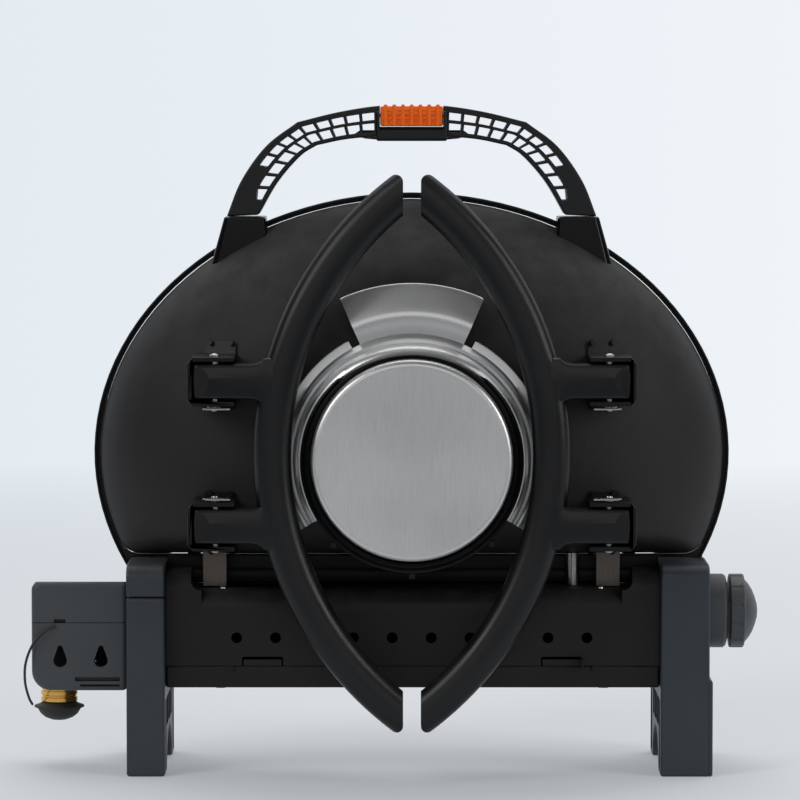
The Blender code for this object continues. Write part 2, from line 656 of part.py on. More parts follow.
left_foot = plate("left_foot", foot_base() + [(46 * MM, FOOT_SEAM), (FOOT_FRONT, FOOT_SEAM)], 'YZ',
                  *FOOT_LEFT, BLUE_GREY_PLASTIC)
left_cap = plate("left_foot_cap", foot_head(FOOT_SEAM + GAP) + [(FOOT_FRONT, FOOT_SEAM + GAP)], 'YZ',
                 *FOOT_LEFT, BLUE_GREY_PLASTIC)
right_foot = plate("right_foot", foot_base() + foot_head(120 * MM), 'YZ', *FOOT_RIGHT, BLUE_GREY_PLASTIC)

for label, pocketed, low, high in (("left", left_cap, -200 * MM, -171 * MM),
                                   ("right", right_foot, 171 * MM, 202 * MM)):
    combine(pocketed, rod(f"{label}_pin_pocket", (low, HINGE_Y, HINGE_Z), (high, HINGE_Y, HINGE_Z),
                          HINGE_PIN_RADIUS + GAP, None, sides=16))
    start = low + 1 * MM if label == "left" else low - 15 * MM
    end = high + 15 * MM if label == "left" else high - 1 * MM
    rod(f"{label}_hinge_pin", (start, HINGE_Y, HINGE_Z), (end, HINGE_Y, HINGE_Z), HINGE_PIN_RADIUS,
        STAINLESS, sides=16)
    centre = -170 * MM if label == "left" else 170 * MM
    arm = block(f"{label}_lid_hinge_arm", (centre - 5 * MM, HINGE_Y - 9 * MM, HINGE_Z - 3 * MM),
                (centre + 5 * MM, HINGE_Y + 9 * MM, SHELL_Z - SHELL_CUT + 8 * MM), BLACK_STEEL)
    combine(arm, rod(f"{label}_barrel", (centre - 5 * MM, HINGE_Y, HINGE_Z), (centre + 5 * MM, HINGE_Y, HINGE_Z),
                     9 * MM, None, sides=20), 'UNION')
    combine(arm, rod(f"{label}_barrel_bore", (centre - 9 * MM, HINGE_Y, HINGE_Z),
                     (centre + 9 * MM, HINGE_Y, HINGE_Z), HINGE_PIN_RADIUS + GAP, None, sides=16))
    seat_on_shell(arm, 1)


# ---------------------------------------------------------------- gas side

def box_outline():
    """Front view of the regulator box, with a rounded outer shoulder and corner."""
    points = [(BOX_RIGHT, BOX_BOTTOM), (BOX_RIGHT, BOX_TOP)]
    for i in range(5):
        angle = math.pi / 2 + math.pi / 2 * i / 4
        points.append((BOX_LEFT + 9 * MM + 9 * MM * math.cos(angle), BOX_TOP - 9 * MM + 9 * MM * math.sin(angle)))
    points += [(BOX_LEFT, BOX_BOTTOM + 12 * MM), (BOX_LEFT + 8 * MM, BOX_BOTTOM)]
    return points


regulator_box = plate("regulator_box", box_outline(), 'XZ', BOX_FRONT, BOX_BACK, DARK_GREY_PLASTIC)
combine(regulator_box, block("box_top_cut", (-320 * MM, -80 * MM, BOX_SEAM - GAP),
                             (-200 * MM, 80 * MM, 170 * MM), None))
combine(regulator_box, block("box_hollow", (BOX_LEFT + 3 * MM, BOX_FRONT + 3 * MM, BOX_BOTTOM + 3 * MM),
                             (BOX_RIGHT - 3 * MM, BOX_BACK - 3 * MM, 140 * MM), None))
combine(regulator_box, rod("box_inlet_hole", (INLET_X, 0, 50 * MM), (INLET_X, 0, 70 * MM),
                           INLET_RADIUS + GAP, None, sides=32))
regulator_lid = plate("regulator_box_cover", box_outline(), 'XZ', BOX_FRONT, BOX_BACK, DARK_GREY_PLASTIC)
combine(regulator_lid, block("cover_bottom_cut", (-320 * MM, -80 * MM, 20 * MM),
                             (-200 * MM, 80 * MM, BOX_SEAM), None))
combine(regulator_lid, block("cover_hollow", (BOX_LEFT + 3 * MM, BOX_FRONT + 3 * MM, 100 * MM),
                             (BOX_RIGHT - 3 * MM, BOX_BACK - 3 * MM, BOX_TOP - 12 * MM), None))
combine(regulator_lid, plate("cover_top_slope",
                             [(BOX_FRONT - 5 * MM, BOX_TOP + 0.6 * MM), (BOX_BACK + 5 * MM, BOX_TOP - 9 * MM),
                              (BOX_BACK + 5 * MM, BOX_TOP + 9 * MM), (BOX_FRONT - 5 * MM, BOX_TOP + 9 * MM)],
                             'YZ', BOX_LEFT - 5 * MM, BOX_RIGHT + 5 * MM, None))
for box_part in (regulator_box, regulator_lid):
    combine(box_part, rod(f"{box_part.name}_pipe_way", (-230 * MM, GAS_Y, PIPE_Z),
                          (-210 * MM, GAS_Y, PIPE_Z), 8 * MM, None, sides=16))
combine(left_foot, rod("left_foot_pipe_way", (-230 * MM, GAS_Y, PIPE_Z), (-180 * MM, GAS_Y, PIPE_Z),
                       8 * MM, None, sides=16))

turned("regulator_body",
       [(0, 30 * MM), (16 * MM, 30 * MM), (18 * MM, 26 * MM), (18 * MM, 14 * MM), (12 * MM, 10 * MM),
        (12 * MM, 0), (0, 0)], (INLET_X + 18 * MM, GAS_Y, 82 * MM), (0, 0, 1), STAINLESS, steps=24)
turned("gas_inlet",
       [(INLET_RADIUS, 66 * MM), (INLET_RADIUS, 49 * MM), (9 * MM, 49 * MM), (9 * MM, 66 * MM)],
       (INLET_X, 0, 0), (0, 0, 1), BRASS, steps=32)
turned("dust_cap",
       [(0, 48.6 * MM), (19.5 * MM, 48.6 * MM), (19.5 * MM, 45 * MM), (16 * MM, 40 * MM), (10 * MM, 36 * MM),
        (0, 34.3 * MM)], (INLET_X, 0, 0), (0, 0, 1), RUBBER, steps=28)

tether_route = [Vector((-273.5, -46.5, 113)), Vector((-282, -48, 109)), Vector((-291, -48.5, 99)),
                Vector((-297, -44, 84)), Vector((-298.5, -32, 68)), Vector((-297, -16, 54)),
                Vector((-295.2, -4, 47))]
tube("cap_tether", [point * MM for point in curve_through(tether_route, 32)], 1.0 * MM, RUBBER)

pipe_ends = [Vector((x * MM, GAS_Y, z)) for x, z in ((-236, PIPE_Z), (-140, PIPE_Z), (-60, PIPE_Z + 2 * MM),
                                                     (40, KNOB_Z - 3 * MM), (110, KNOB_Z), (146, KNOB_Z))]
tube("gas_pipe", pipe_ends, 4 * MM, BRASS, resolution=2)
block("gas_valve", (146.4 * MM, GAS_Y - 14 * MM, KNOB_Z - 14 * MM),
      (180 * MM, GAS_Y + 14 * MM, KNOB_Z + 14 * MM), BRASS, bevel=2 * MM)
tube("burner_feed_pipe", [Vector(p) * MM for p in ((124.5, -20, HOUSING_TOP / MM + 0.4),
                                                   (124.5, -20, 165.4))], 5 * MM, STAINLESS, resolution=3)

turned("knob_collar",
       [(KNOB_RADIUS, 16 * MM), (KNOB_RADIUS, 0), (7 * MM, 0), (7 * MM, 16 * MM)],
       (FOOT_RIGHT[1] + GAP, GAS_Y, KNOB_Z), (1, 0, 0), DARK_GREY_PLASTIC, steps=32)
combine(right_foot, rod("stem_way", (180 * MM, GAS_Y, KNOB_Z), (250 * MM, GAS_Y, KNOB_Z), 6 * MM,
                        None, sides=16))
rod("valve_stem", (183 * MM, GAS_Y, KNOB_Z), (253 * MM, GAS_Y, KNOB_Z), 4 * MM, STAINLESS, sides=16)
turned("control_knob",
       [(0, 18 * MM), (10 * MM, 17.6 * MM), (18 * MM, 16 * MM), (24 * MM, 12 * MM), (27.5 * MM, 6 * MM),
        (KNOB_RADIUS, 0), (KNOB_RADIUS, -4 * MM), (4.3 * MM, -4 * MM), (4.3 * MM, 3 * MM), (0, 3 * MM)],
       (250.5 * MM, GAS_Y, KNOB_Z), (1, 0, 0), DARK_GREY_PLASTIC, steps=36)


# ---------------------------------------------------------------- handle, sockets and latch

OUTER_EDGE = [Vector(p) for p in ((-138.6, 0, 427), (-129.5, 0, 454.8), (-112, 0, 481), (-88, 0, 499.4),
                                  (-56, 0, 508.5), (-24.4, 0, 512), (0, 0, 512))]
INNER_EDGE = [Vector(p) for p in ((-114, 0, 428), (-102, 0, 453), (-86, 0, 473), (-73, 0, 481.5),
                                  (-50, 0, 486.6), (-24.4, 0, 488.2), (0, 0, 488.2))]


def handle_half(name, front, back):
    """A hoop with two rows of windows on each side of the grip: one half, mirrored about X = 0."""
    columns = 46
    outer = curve_through(OUTER_EDGE, columns)
    inner = curve_through(INNER_EDGE, columns)
    rows = (0.0, 0.16, 0.45, 0.56, 0.86, 1.0)
    bm = bmesh.new()
    grid = [[bm.verts.new(Vector((0, front, 0)) + outer[i].lerp(inner[i], t) * MM) for t in rows]
            for i in range(columns)]
    for i in range(columns - 1):
        for j in range(len(rows) - 1):
            in_upper_row = j == 1 and 14 <= i < 37
            in_lower_row = j == 3 and 8 <= i < 37
            if (in_upper_row or in_lower_row) and i % 3 != 1:
                continue
            bm.faces.new((grid[i][j], grid[i + 1][j], grid[i + 1][j + 1], grid[i][j + 1]))
    for grid_row in grid[-1]:
        grid_row.co.x = 0
    piece = add_object(name, bm, BLACK_PLASTIC)
    mirror = piece.modifiers.new("mirror", 'MIRROR')
    mirror.merge_threshold = 0.0001
    thickness = piece.modifiers.new("thickness", 'SOLIDIFY')
    thickness.thickness = back - front
    thickness.offset = -1.0
    return piece


front_half = handle_half("front_handle_half", HANDLE_FRONT_Y, HANDLE_FRONT_Y + HANDLE_THICKNESS)
rear_half = handle_half("rear_handle_half", HANDLE_BACK_Y, HANDLE_BACK_Y + HANDLE_THICKNESS)
for half in (front_half, rear_half):
    combine(half, block(f"{half.name}_recess", (-LATCH_HALF_WIDTH - GAP, -40 * MM, LATCH_LOW - 4.5 * MM),
                        (LATCH_HALF_WIDTH + GAP, 40 * MM, 530 * MM), None))


def socket(name, sign, near, far):
    """The wedge moulding that holds the end of a handle half on its shell."""
    bm = bmesh.new()
    top = [(-144.2, 426.6), (-112.5, 426.6)]
    low = [(-155.8, 385), (-110.7, 404.5)]
    lean = 14 * MM * (1 if far > near else -1)
    corners = []
    for x, z in (top[0], top[1], low[1], low[0]):
        corners.append((sign * -x * MM, z * MM))
    front_top, front_low = near, near - lean
    points = [(corners[0][0], front_top, corners[0][1]), (corners[1][0], front_top, corners[1][1]),
              (corners[2][0], front_low, corners[2][1]), (corners[3][0], front_low, corners[3][1]),
              (corners[0][0], far, corners[0][1]), (corners[1][0], far, corners[1][1]),
              (corners[2][0], far, corners[2][1]), (corners[3][0], far, corners[3][1])]
    for point in points:
        bm.verts.new(point)
    bmesh.ops.convex_hull(bm, input=bm.verts)
    return add_object(name, bm, GLOSS_BLACK)


for side_name, sign in (("left", -1), ("right", 1)):
    seat_on_shell(socket(f"{side_name}_handle_socket", sign, -24 * MM, -4.5 * MM), -1)
    seat_on_shell(socket(f"{side_name}_lid_socket", sign, 24 * MM, 4.5 * MM), 1)

latch = as_mesh(block("handle_latch", (-LATCH_HALF_WIDTH, -23 * MM, LATCH_LOW),
                      (LATCH_HALF_WIDTH, 20 * MM, LATCH_TOP), ORANGE_PLASTIC, bevel=2 * MM))
pin_ends = [(x, LATCH_PIN_Y, LATCH_PIN_Z) for x in (-LATCH_HALF_WIDTH - 5 * MM, LATCH_HALF_WIDTH + 5 * MM)]
for holder in (latch, front_half):
    combine(holder, rod(f"{holder.name}_pin_bore", *pin_ends, 1.5 * MM + GAP, None, sides=12))
rod("latch_pin", (pin_ends[0][0] + GAP, *pin_ends[0][1:]), (pin_ends[1][0] - GAP, *pin_ends[1][1:]),
    1.5 * MM, STAINLESS, sides=12)
set_origin(latch, (0, LATCH_PIN_Y, LATCH_PIN_Z))

for piece in (*grill.objects, *cutters.objects):
    piece.location += Vector((MIDDLE_X, MIDDLE_Y, 0))
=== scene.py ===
import math

import bmesh
import bpy
from mathutils import Matrix, Vector


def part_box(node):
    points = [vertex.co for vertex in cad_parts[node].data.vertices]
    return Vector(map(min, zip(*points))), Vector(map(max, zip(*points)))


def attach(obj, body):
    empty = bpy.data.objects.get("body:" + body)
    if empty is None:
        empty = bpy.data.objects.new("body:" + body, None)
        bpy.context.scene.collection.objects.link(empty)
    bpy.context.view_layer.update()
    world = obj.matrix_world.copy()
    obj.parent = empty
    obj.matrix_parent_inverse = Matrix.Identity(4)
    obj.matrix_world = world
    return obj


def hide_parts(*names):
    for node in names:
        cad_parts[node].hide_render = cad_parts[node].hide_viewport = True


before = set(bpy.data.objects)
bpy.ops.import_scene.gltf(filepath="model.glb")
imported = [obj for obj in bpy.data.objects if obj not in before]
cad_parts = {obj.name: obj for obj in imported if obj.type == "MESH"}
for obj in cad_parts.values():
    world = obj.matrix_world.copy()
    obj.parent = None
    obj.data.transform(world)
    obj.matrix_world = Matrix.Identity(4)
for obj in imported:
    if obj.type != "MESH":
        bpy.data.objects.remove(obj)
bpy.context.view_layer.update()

# ---------------------------------------------------------------- camera
# A long lens a little above the lid's middle, square to the bowl. Every piece below is laid out in
# millimetres about the middle of the bowl's mouth, and at() turns that into a place in the frame.
MM = 0.001
rim_low, rim_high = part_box("bowl_rim")
MIDDLE = Vector(((rim_low.x + rim_high.x) / 2, rim_high.y + 0.5 * MM, 0))


def at(x, y, z):
    """The place x mm right of the bowl's middle, y mm behind its mouth and z mm above the floor."""
    return MIDDLE + Vector((x, y, z)) * MM


CAMERA_DISTANCE = 3.6
CAMERA_TILT = math.radians(3.711)
camera = bpy.data.objects.new("camera", bpy.data.cameras.new("camera"))
bpy.context.scene.collection.objects.link(camera)
camera.location = (0.0065, 0.0065 - CAMERA_DISTANCE * math.cos(CAMERA_TILT), 0.517)
camera.rotation_euler = (math.radians(90) - CAMERA_TILT, 0, 0)
camera.data.lens = 208.76
camera.data.sensor_width = 36
camera.data.clip_end = 50
bpy.context.scene.camera = camera


# ---------------------------------------------------------------- tether of the dust cap
# A thin moulded rubber cord, fixed in a slot of the gas box. It loops round the corner of the box
# and down to the cap on the gas inlet.
def new_material(name, metallic=0.0, roughness=0.5, coat=0.0, specular=0.5):
    """A material with its own Principled shader: (material, its node tree, the shader)."""
    material = bpy.data.materials.new(name)
    material.use_nodes = True
    shader = material.node_tree.nodes["Principled BSDF"]
    shader.inputs["Metallic"].default_value = metallic
    shader.inputs["Roughness"].default_value = roughness
    shader.inputs["Coat Weight"].default_value = coat
    shader.inputs["Specular IOR Level"].default_value = specular
    return material, material.node_tree, shader


def effect(name, inputs, outputs):
    """An empty shader node group with float or colour sockets: (tree, its inputs, its outputs)."""
    tree = bpy.data.node_groups.new(name, "ShaderNodeTree")
    for label, value in inputs:
        kind = "NodeSocketColor" if isinstance(value, tuple) else "NodeSocketFloat"
        socket = tree.interface.new_socket(label, in_out="INPUT", socket_type=kind)
        socket.default_value = value
    for label, kind in outputs:
        tree.interface.new_socket(label, in_out="OUTPUT", socket_type=kind)
    return tree, tree.nodes.new("NodeGroupInput"), tree.nodes.new("NodeGroupOutput")


def noise(tree, scale, detail=2.0, stretch=(1, 1, 1), roughness=0.5):
    """The value of a noise on object coordinates, finer along the axes with a larger stretch."""
    place = tree.nodes.new("ShaderNodeTexCoord")
    mapping = tree.nodes.new("ShaderNodeMapping")
    mapping.inputs["Scale"].default_value = stretch
    texture = tree.nodes.new("ShaderNodeTexNoise")
    texture.inputs["Detail"].default_value = detail
    texture.inputs["Roughness"].default_value = roughness
    tree.links.new(place.outputs["Object"], mapping.inputs["Vector"])
    tree.links.new(mapping.outputs["Vector"], texture.inputs["Vector"])
    if isinstance(scale, bpy.types.NodeSocket):
        tree.links.new(scale, texture.inputs["Scale"])
    else:
        texture.inputs["Scale"].default_value = scale
    return texture.outputs["Fac"]


def spread(tree, value, low, high, to_low=0.0, to_high=1.0):
    """A value stretched from low..high to to_low..to_high, which may be sockets, and clamped there."""
    node = tree.nodes.new("ShaderNodeMapRange")
    for socket, what in zip(("Value", "From Min", "From Max", "To Min", "To Max"),
                            (value, low, high, to_low, to_high)):
        if isinstance(what, bpy.types.NodeSocket):
            tree.links.new(what, node.inputs[socket])
        else:
            node.inputs[socket].default_value = what
    return node.outputs["Result"]


def mixed(tree, share, first, second):
    """Two colours mixed by a share from 0 to 1."""
    node = tree.nodes.new("ShaderNodeMix")
    node.data_type = "RGBA"
    for socket, what in ((node.inputs["Factor"], share), (node.inputs[6], first), (node.inputs[7], second)):
        if isinstance(what, bpy.types.NodeSocket):
            tree.links.new(what, socket)
        else:
            socket.default_value = what
    return node.outputs[2]


def maths(tree, operation, first, second=0.0):
    """One sum on two values or sockets."""
    node = tree.nodes.new("ShaderNodeMath")
    node.operation = operation
    for socket, what in zip(node.inputs, (first, second)):
        if isinstance(what, bpy.types.NodeSocket):
            tree.links.new(what, socket)
        else:
            socket.default_value = what
    return node.outputs[0]


def add_effect(tree, group, **values):
    """One use of a node group with its own values."""
    node = tree.nodes.new("ShaderNodeGroup")
    node.node_tree = group
    for label, value in values.items():
        node.inputs[label.replace("_", " ")].default_value = value
    return node


def add_bump(tree, shader, height, distance, strength=1.0):
    """Raises the shader's surface by a height from 0 to 1, at most distance metres."""
    node = tree.nodes.new("ShaderNodeBump")
    node.inputs["Distance"].default_value = distance
    node.inputs["Strength"].default_value = strength
    tree.links.new(height, node.inputs["Height"])
    tree.links.new(node.outputs["Normal"], shader.inputs["Normal"])


# Fine grain and soft blotches: the texture of coated and moulded surfaces.
grain_tree, grain_in, grain_out = effect(
    "surface grain",
    [("Colour", (0.5, 0.5, 0.5, 1.0)), ("Lighter", (0.6, 0.6, 0.6, 1.0)), ("Grain scale", 1500.0),
     ("Blotch scale", 14.0), ("Roughness", 0.5), ("Roughness spread", 0.1)],
    [("Colour", "NodeSocketColor"), ("Roughness", "NodeSocketFloat"), ("Height", "NodeSocketFloat")])
fine = noise(grain_tree, grain_in.outputs["Grain scale"], 3.0)
blotch = noise(grain_tree, grain_in.outputs["Blotch scale"], 5.0)
speckle = spread(grain_tree, fine, 0.3, 0.72)
patch = spread(grain_tree, blotch, 0.3, 0.7)
share = maths(grain_tree, "ADD", maths(grain_tree, "MULTIPLY", speckle, 0.45),
              maths(grain_tree, "MULTIPLY", patch, 0.4))
grain_tree.links.new(mixed(grain_tree, share, grain_in.outputs["Colour"], grain_in.outputs["Lighter"]),
                     grain_out.inputs["Colour"])
grain_tree.links.new(
    maths(grain_tree, "ADD", grain_in.outputs["Roughness"],
          maths(grain_tree, "MULTIPLY", grain_in.outputs["Roughness spread"],
                maths(grain_tree, "SUBTRACT", patch, 0.5))), grain_out.inputs["Roughness"])
grain_tree.links.new(speckle, grain_out.inputs["Height"])

# Light dust that settles on faces that look up, thicker in patches.
dust_tree, dust_in, dust_out = effect(
    "settled dust", [("Colour", (0.5, 0.5, 0.5, 1.0)), ("Roughness", 0.5), ("Amount", 0.15)],
    [("Colour", "NodeSocketColor"), ("Roughness", "NodeSocketFloat")])
geometry = dust_tree.nodes.new("ShaderNodeNewGeometry")
upward = dust_tree.nodes.new("ShaderNodeSeparateXYZ")
dust_tree.links.new(geometry.outputs["Normal"], upward.inputs["Vector"])
settled = maths(dust_tree, "MULTIPLY", spread(dust_tree, upward.outputs["Z"], 0.15, 0.95),
                spread(dust_tree, noise(dust_tree, 60.0, 6.0), 0.35, 0.7, 0.35, 1.0))
settled = maths(dust_tree, "MULTIPLY", settled, dust_in.outputs["Amount"])
dust_tree.links.new(mixed(dust_tree, settled, dust_in.outputs["Colour"], (0.42, 0.41, 0.39, 1.0)),
                    dust_out.inputs["Colour"])
dust_tree.links.new(maths(dust_tree, "ADD", dust_in.outputs["Roughness"],
                          maths(dust_tree, "MULTIPLY", settled, 0.5)), dust_out.inputs["Roughness"])


def coated(name, colour, lighter, roughness, grain=1500.0, rise=0.02, metallic=0.0, coat=0.0,
           dust=0.12, uneven=0.1, specular=0.5, blotch=14.0):
    """A painted, moulded or cast surface: fine grain raised by rise mm, soft blotches, a little dust."""
    material, tree, shader = new_material(name, metallic, roughness, coat, specular)
    surface = add_effect(tree, grain_tree, Colour=(*colour, 1.0), Lighter=(*lighter, 1.0),
                         Grain_scale=grain, Blotch_scale=blotch, Roughness=roughness,
                         Roughness_spread=uneven)
    film = add_effect(tree, dust_tree, Amount=dust)
    tree.links.new(surface.outputs["Colour"], film.inputs["Colour"])
    tree.links.new(surface.outputs["Roughness"], film.inputs["Roughness"])
    tree.links.new(film.outputs["Colour"], shader.inputs["Base Color"])
    tree.links.new(film.outputs["Roughness"], shader.inputs["Roughness"])
    add_bump(tree, shader, surface.outputs["Height"], rise * MM)
    return material


def give(piece, material):
    """Makes a material the only one of a piece."""
    piece.data.materials.clear()
    piece.data.materials.append(material)


def curve_through(points, count):
    """Evenly numbered points of a smooth curve through the given ones."""
    padded = [2 * points[0] - points[1], *points, 2 * points[-1] - points[-2]]
    result = []
    for i in range(count):
        place = i / (count - 1) * (len(points) - 1)
        k = min(int(place), len(points) - 2)
        t = place - k
        a, b, c, d = padded[k:k + 4]
        result.append(0.5 * (2 * b + (c - a) * t + (2 * a - 5 * b + 4 * c - d) * t ** 2
                             + (3 * b - a - 3 * c + d) * t ** 3))
    return result


rubber = coated("matt black rubber", (0.012, 0.012, 0.012), (0.022, 0.022, 0.021), 0.62, 900, 0.03)
TETHER_ROUTE = ((-273.5, -46.5, 113), (-282, -48, 109), (-291, -48.5, 99), (-297, -44, 84),
                (-298.5, -32, 68), (-297, -16, 54), (-295.2, -4, 47))
TETHER_RADIUS = 1.0
route = curve_through([at(*point) for point in TETHER_ROUTE], 32)
cord_line = bpy.data.curves.new("cap_tether_cord", "CURVE")
cord_line.dimensions = "3D"
cord_line.bevel_depth = TETHER_RADIUS * MM
cord_line.bevel_resolution = 4
cord_line.use_fill_caps = True
line = cord_line.splines.new("POLY")
line.points.add(len(route) - 1)
for knot, point in zip(line.points, route):
    knot.co = (*point, 1.0)
tether = bpy.data.objects.new("cap_tether_cord", cord_line)
bpy.context.scene.collection.objects.link(tether)
give(tether, rubber)
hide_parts("cap_tether")
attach(tether, "cap")


# ---------------------------------------------------------------- floor and light
# A pale seamless sweep, painted near-black out of view in front of the grill as painted shade for the grill's front;
# a large soft light on the left, a weaker one on the right and one overhead.
def deselect():
    """Leaves edit mode, with nothing selected."""
    if bpy.context.mode != "OBJECT":
        bpy.ops.object.mode_set(mode="OBJECT")
    bpy.ops.object.select_all(action="DESELECT")


deselect()
bpy.ops.mesh.primitive_plane_add(size=30)
floor = bpy.context.object
floor.name = floor.data.name = "studio_floor"
studio_floor, floor_nodes, floor_shader = new_material("pale studio floor", roughness=0.8, specular=0.0)
BACKDROP = ((0.775, 0.83, 0.88, 1.0), (0.86, 0.90, 0.94, 1.0))
floor_place = floor_nodes.nodes.new("ShaderNodeTexCoord")
floor_way = floor_nodes.nodes.new("ShaderNodeSeparateXYZ")
floor_nodes.links.new(floor_place.outputs["Object"], floor_way.inputs["Vector"])
far = spread(floor_nodes, floor_way.outputs["Y"], 0.5, 3.0)
# Painted shade: the floor out of view in front of the grill fades to near-black, so it lights the grill's front less.
painted_front_shade_share = spread(floor_nodes, floor_way.outputs["Y"], -0.9, -0.3)
sideways = maths(floor_nodes, "DIVIDE", floor_way.outputs["X"],
                 maths(floor_nodes, "ADD", floor_way.outputs["Y"], CAMERA_DISTANCE))
paper_and_painted_front_shade = mixed(floor_nodes, painted_front_shade_share, (0.05, 0.05, 0.05, 1.0), (0.62, 0.625, 0.635, 1.0))
floor_nodes.links.new(mixed(floor_nodes, far, paper_and_painted_front_shade, (0, 0, 0, 1)), floor_shader.inputs["Base Color"])
floor_nodes.links.new(mixed(floor_nodes, spread(floor_nodes, sideways, -0.09, 0.09), *BACKDROP),
                      floor_shader.inputs["Emission Color"])
floor_nodes.links.new(spread(floor_nodes, floor_way.outputs["Y"], 0.5, 3.0, 0.24, 1.0),
                      floor_shader.inputs["Emission Strength"])
give(floor, studio_floor)

bpy.context.scene.view_settings.view_transform = "Standard"
studio = bpy.data.worlds.new("studio")
bpy.context.scene.world = studio
studio.use_nodes = True
sky = studio.node_tree
direction = sky.nodes.new("ShaderNodeTexCoord")
parts = sky.nodes.new("ShaderNodeSeparateXYZ")
sky.links.new(direction.outputs["Generated"], parts.inputs["Vector"])
behind = spread(sky, parts.outputs["Y"], 0.05, 0.55)
above = spread(sky, parts.outputs["Z"], 0.75, 1.0, 0.0, 0.5)
front = maths(sky, "MULTIPLY", spread(sky, parts.outputs["Y"], -0.80, -0.96, 0.02, 0.62),
              spread(sky, parts.outputs["Z"], -0.1, 0.4, 0.8, 2.2))
backdrop = mixed(sky, spread(sky, maths(sky, "DIVIDE", parts.outputs["X"], parts.outputs["Y"]), -0.09, 0.09),
                 *BACKDROP)
sky.links.new(mixed(sky, maths(sky, "MAXIMUM", behind, above), mixed(sky, front, (0, 0, 0, 1), (1, 1, 1, 1)),
                    backdrop), sky.nodes["Background"].inputs["Color"])
sky.nodes["Background"].inputs["Strength"].default_value = 1.0


def soft_light(name, place, aim, width, height, power):
    """A rectangular soft light that looks at a point."""
    light = bpy.data.lights.new(name, "AREA")
    light.shape = "RECTANGLE"
    light.size, light.size_y = width, height
    light.energy = power
    holder = bpy.data.objects.new(name, light)
    bpy.context.scene.collection.objects.link(holder)
    holder.location = place
    holder.rotation_euler = (Vector(aim) - Vector(place)).to_track_quat("-Z", "Y").to_euler()


soft_light("left_softbox", (-2.2, -2.0, 1.9), (0, 0, 0.25), 1.4, 1.8, 30)
soft_light("right_softbox", (2.4, -1.5, 1.2), (0, 0, 0.25), 1.0, 1.6, 22)
soft_light("overhead_softbox", (0, 0.7, 2.3), (0, 0, 0.2), 2.2, 1.4, 18)


# ---------------------------------------------------------------- bowl shell
# Deep-drawn steel, an ellipse cut straight on the hinge side, with matt charcoal heat-proof paint.
SHELL_MIDDLE = 243.5
SHELL_WIDTH, SHELL_HEIGHT, SHELL_CUT, SHELL_CORNER = 241.0, 196.5, 77.5, 16.0
RIM_DEPTH, BOWL_DEPTH, LID_DEPTH, SHELL_WALL = 6.0, 100.0, 116.0, 2.0
DOME_SCALES = (0.995, 0.985, 0.97, 0.95, 0.93, 0.9, 0.87, 0.835, 0.8, 0.76, 0.72, 0.67, 0.62, 0.56,
               0.5, 0.43, 0.36, 0.27, 0.18, 0.09)


def shell_outline(width, height, cut, corner, arc=72, turn_steps=8, straight=18):
    """Points of an ellipse whose lower part is cut off straight, with rounded corners at the cut."""
    def corner_at(angle):
        slope = Vector((math.cos(angle) / width, math.sin(angle) / height)).normalized()
        return Vector((width * math.cos(angle), height * math.sin(angle))) - corner * slope, slope

    low, high = -math.pi / 2, 0.0
    for _ in range(50):
        start = (low + high) / 2
        if corner_at(start)[0].y < corner - cut:
            low = start
        else:
            high = start
    centre, slope = corner_at(start)
    sweep = math.pi - 2 * start
    points = [(width * math.cos(start + sweep * i / arc), height * math.sin(start + sweep * i / arc))
              for i in range(arc + 1)]
    turn = math.pi / 2 + math.atan2(slope.y, slope.x)
    for i in range(1, turn_steps + 1):
        angle = -math.pi / 2 - turn * (1 - i / turn_steps)
        points.append((-centre.x + corner * math.cos(angle), centre.y + corner * math.sin(angle)))
    points += [(centre.x * (2 * i / straight - 1), -cut) for i in range(1, straight + 1)]
    for i in range(1, turn_steps):
        angle = -math.pi / 2 + turn * i / turn_steps
        points.append((centre.x + corner * math.cos(angle), centre.y + corner * math.sin(angle)))
    return points


def open_piece(piece):
    """Selects one piece and opens it in edit mode."""
    deselect()
    piece.select_set(True)
    bpy.context.view_layer.objects.active = piece
    bpy.ops.object.mode_set(mode="EDIT")


def start_piece(name):
    """An empty piece, open in edit mode."""
    deselect()
    bpy.ops.mesh.primitive_plane_add(size=MM)
    piece = bpy.context.object
    piece.name = piece.data.name = name
    bpy.ops.object.mode_set(mode="EDIT")
    bpy.ops.mesh.delete(type="VERT")
    return piece


def draw(points, closed=True, fill=False):
    """Extrudes one corner from point to point, and closes the line into a loop or fills it as a face."""
    bpy.ops.mesh.select_mode(type="VERT")
    bpy.ops.mesh.select_all(action="DESELECT")
    bpy.ops.mesh.primitive_plane_add(size=MM)
    bpy.ops.mesh.merge(type="CENTER")
    bpy.ops.transform.translate(value=points[0])
    for here, there in zip(points, points[1:]):
        bpy.ops.mesh.extrude_vertices_move(TRANSFORM_OT_translate={"value": there - here})
    count = len(points)
    if fill:
        pick_last(count)
        bpy.ops.mesh.edge_face_add()
    elif closed:
        pick_last(count, ends_only=True)
        bpy.ops.mesh.edge_face_add()
        pick_last(count)


def pick_last(count, ends_only=False):
    """Selects the corners added last, or only the first and the last of them."""
    form = bmesh.from_edit_mesh(bpy.context.object.data)
    bpy.ops.mesh.select_mode(type="VERT")
    form.verts.ensure_lookup_table()
    last = len(form.verts)
    for corner in form.verts:
        corner.select = (corner.index in (last - count, last - 1)) if ends_only \
            else corner.index >= last - count
    form.select_flush(True)
    bmesh.update_edit_mesh(bpy.context.object.data)


def pick(kind, test):
    """Selects the corners, edges or faces of the open piece that pass a test."""
    form = bmesh.from_edit_mesh(bpy.context.object.data)
    bpy.ops.mesh.select_all(action="DESELECT")
    bpy.ops.mesh.select_mode(type={"verts": "VERT", "edges": "EDGE", "faces": "FACE"}[kind])
    for part in getattr(form, kind):
        part.select = bool(test(part))
    if kind == "verts":
        form.select_flush(True)
    bmesh.update_edit_mesh(bpy.context.object.data)


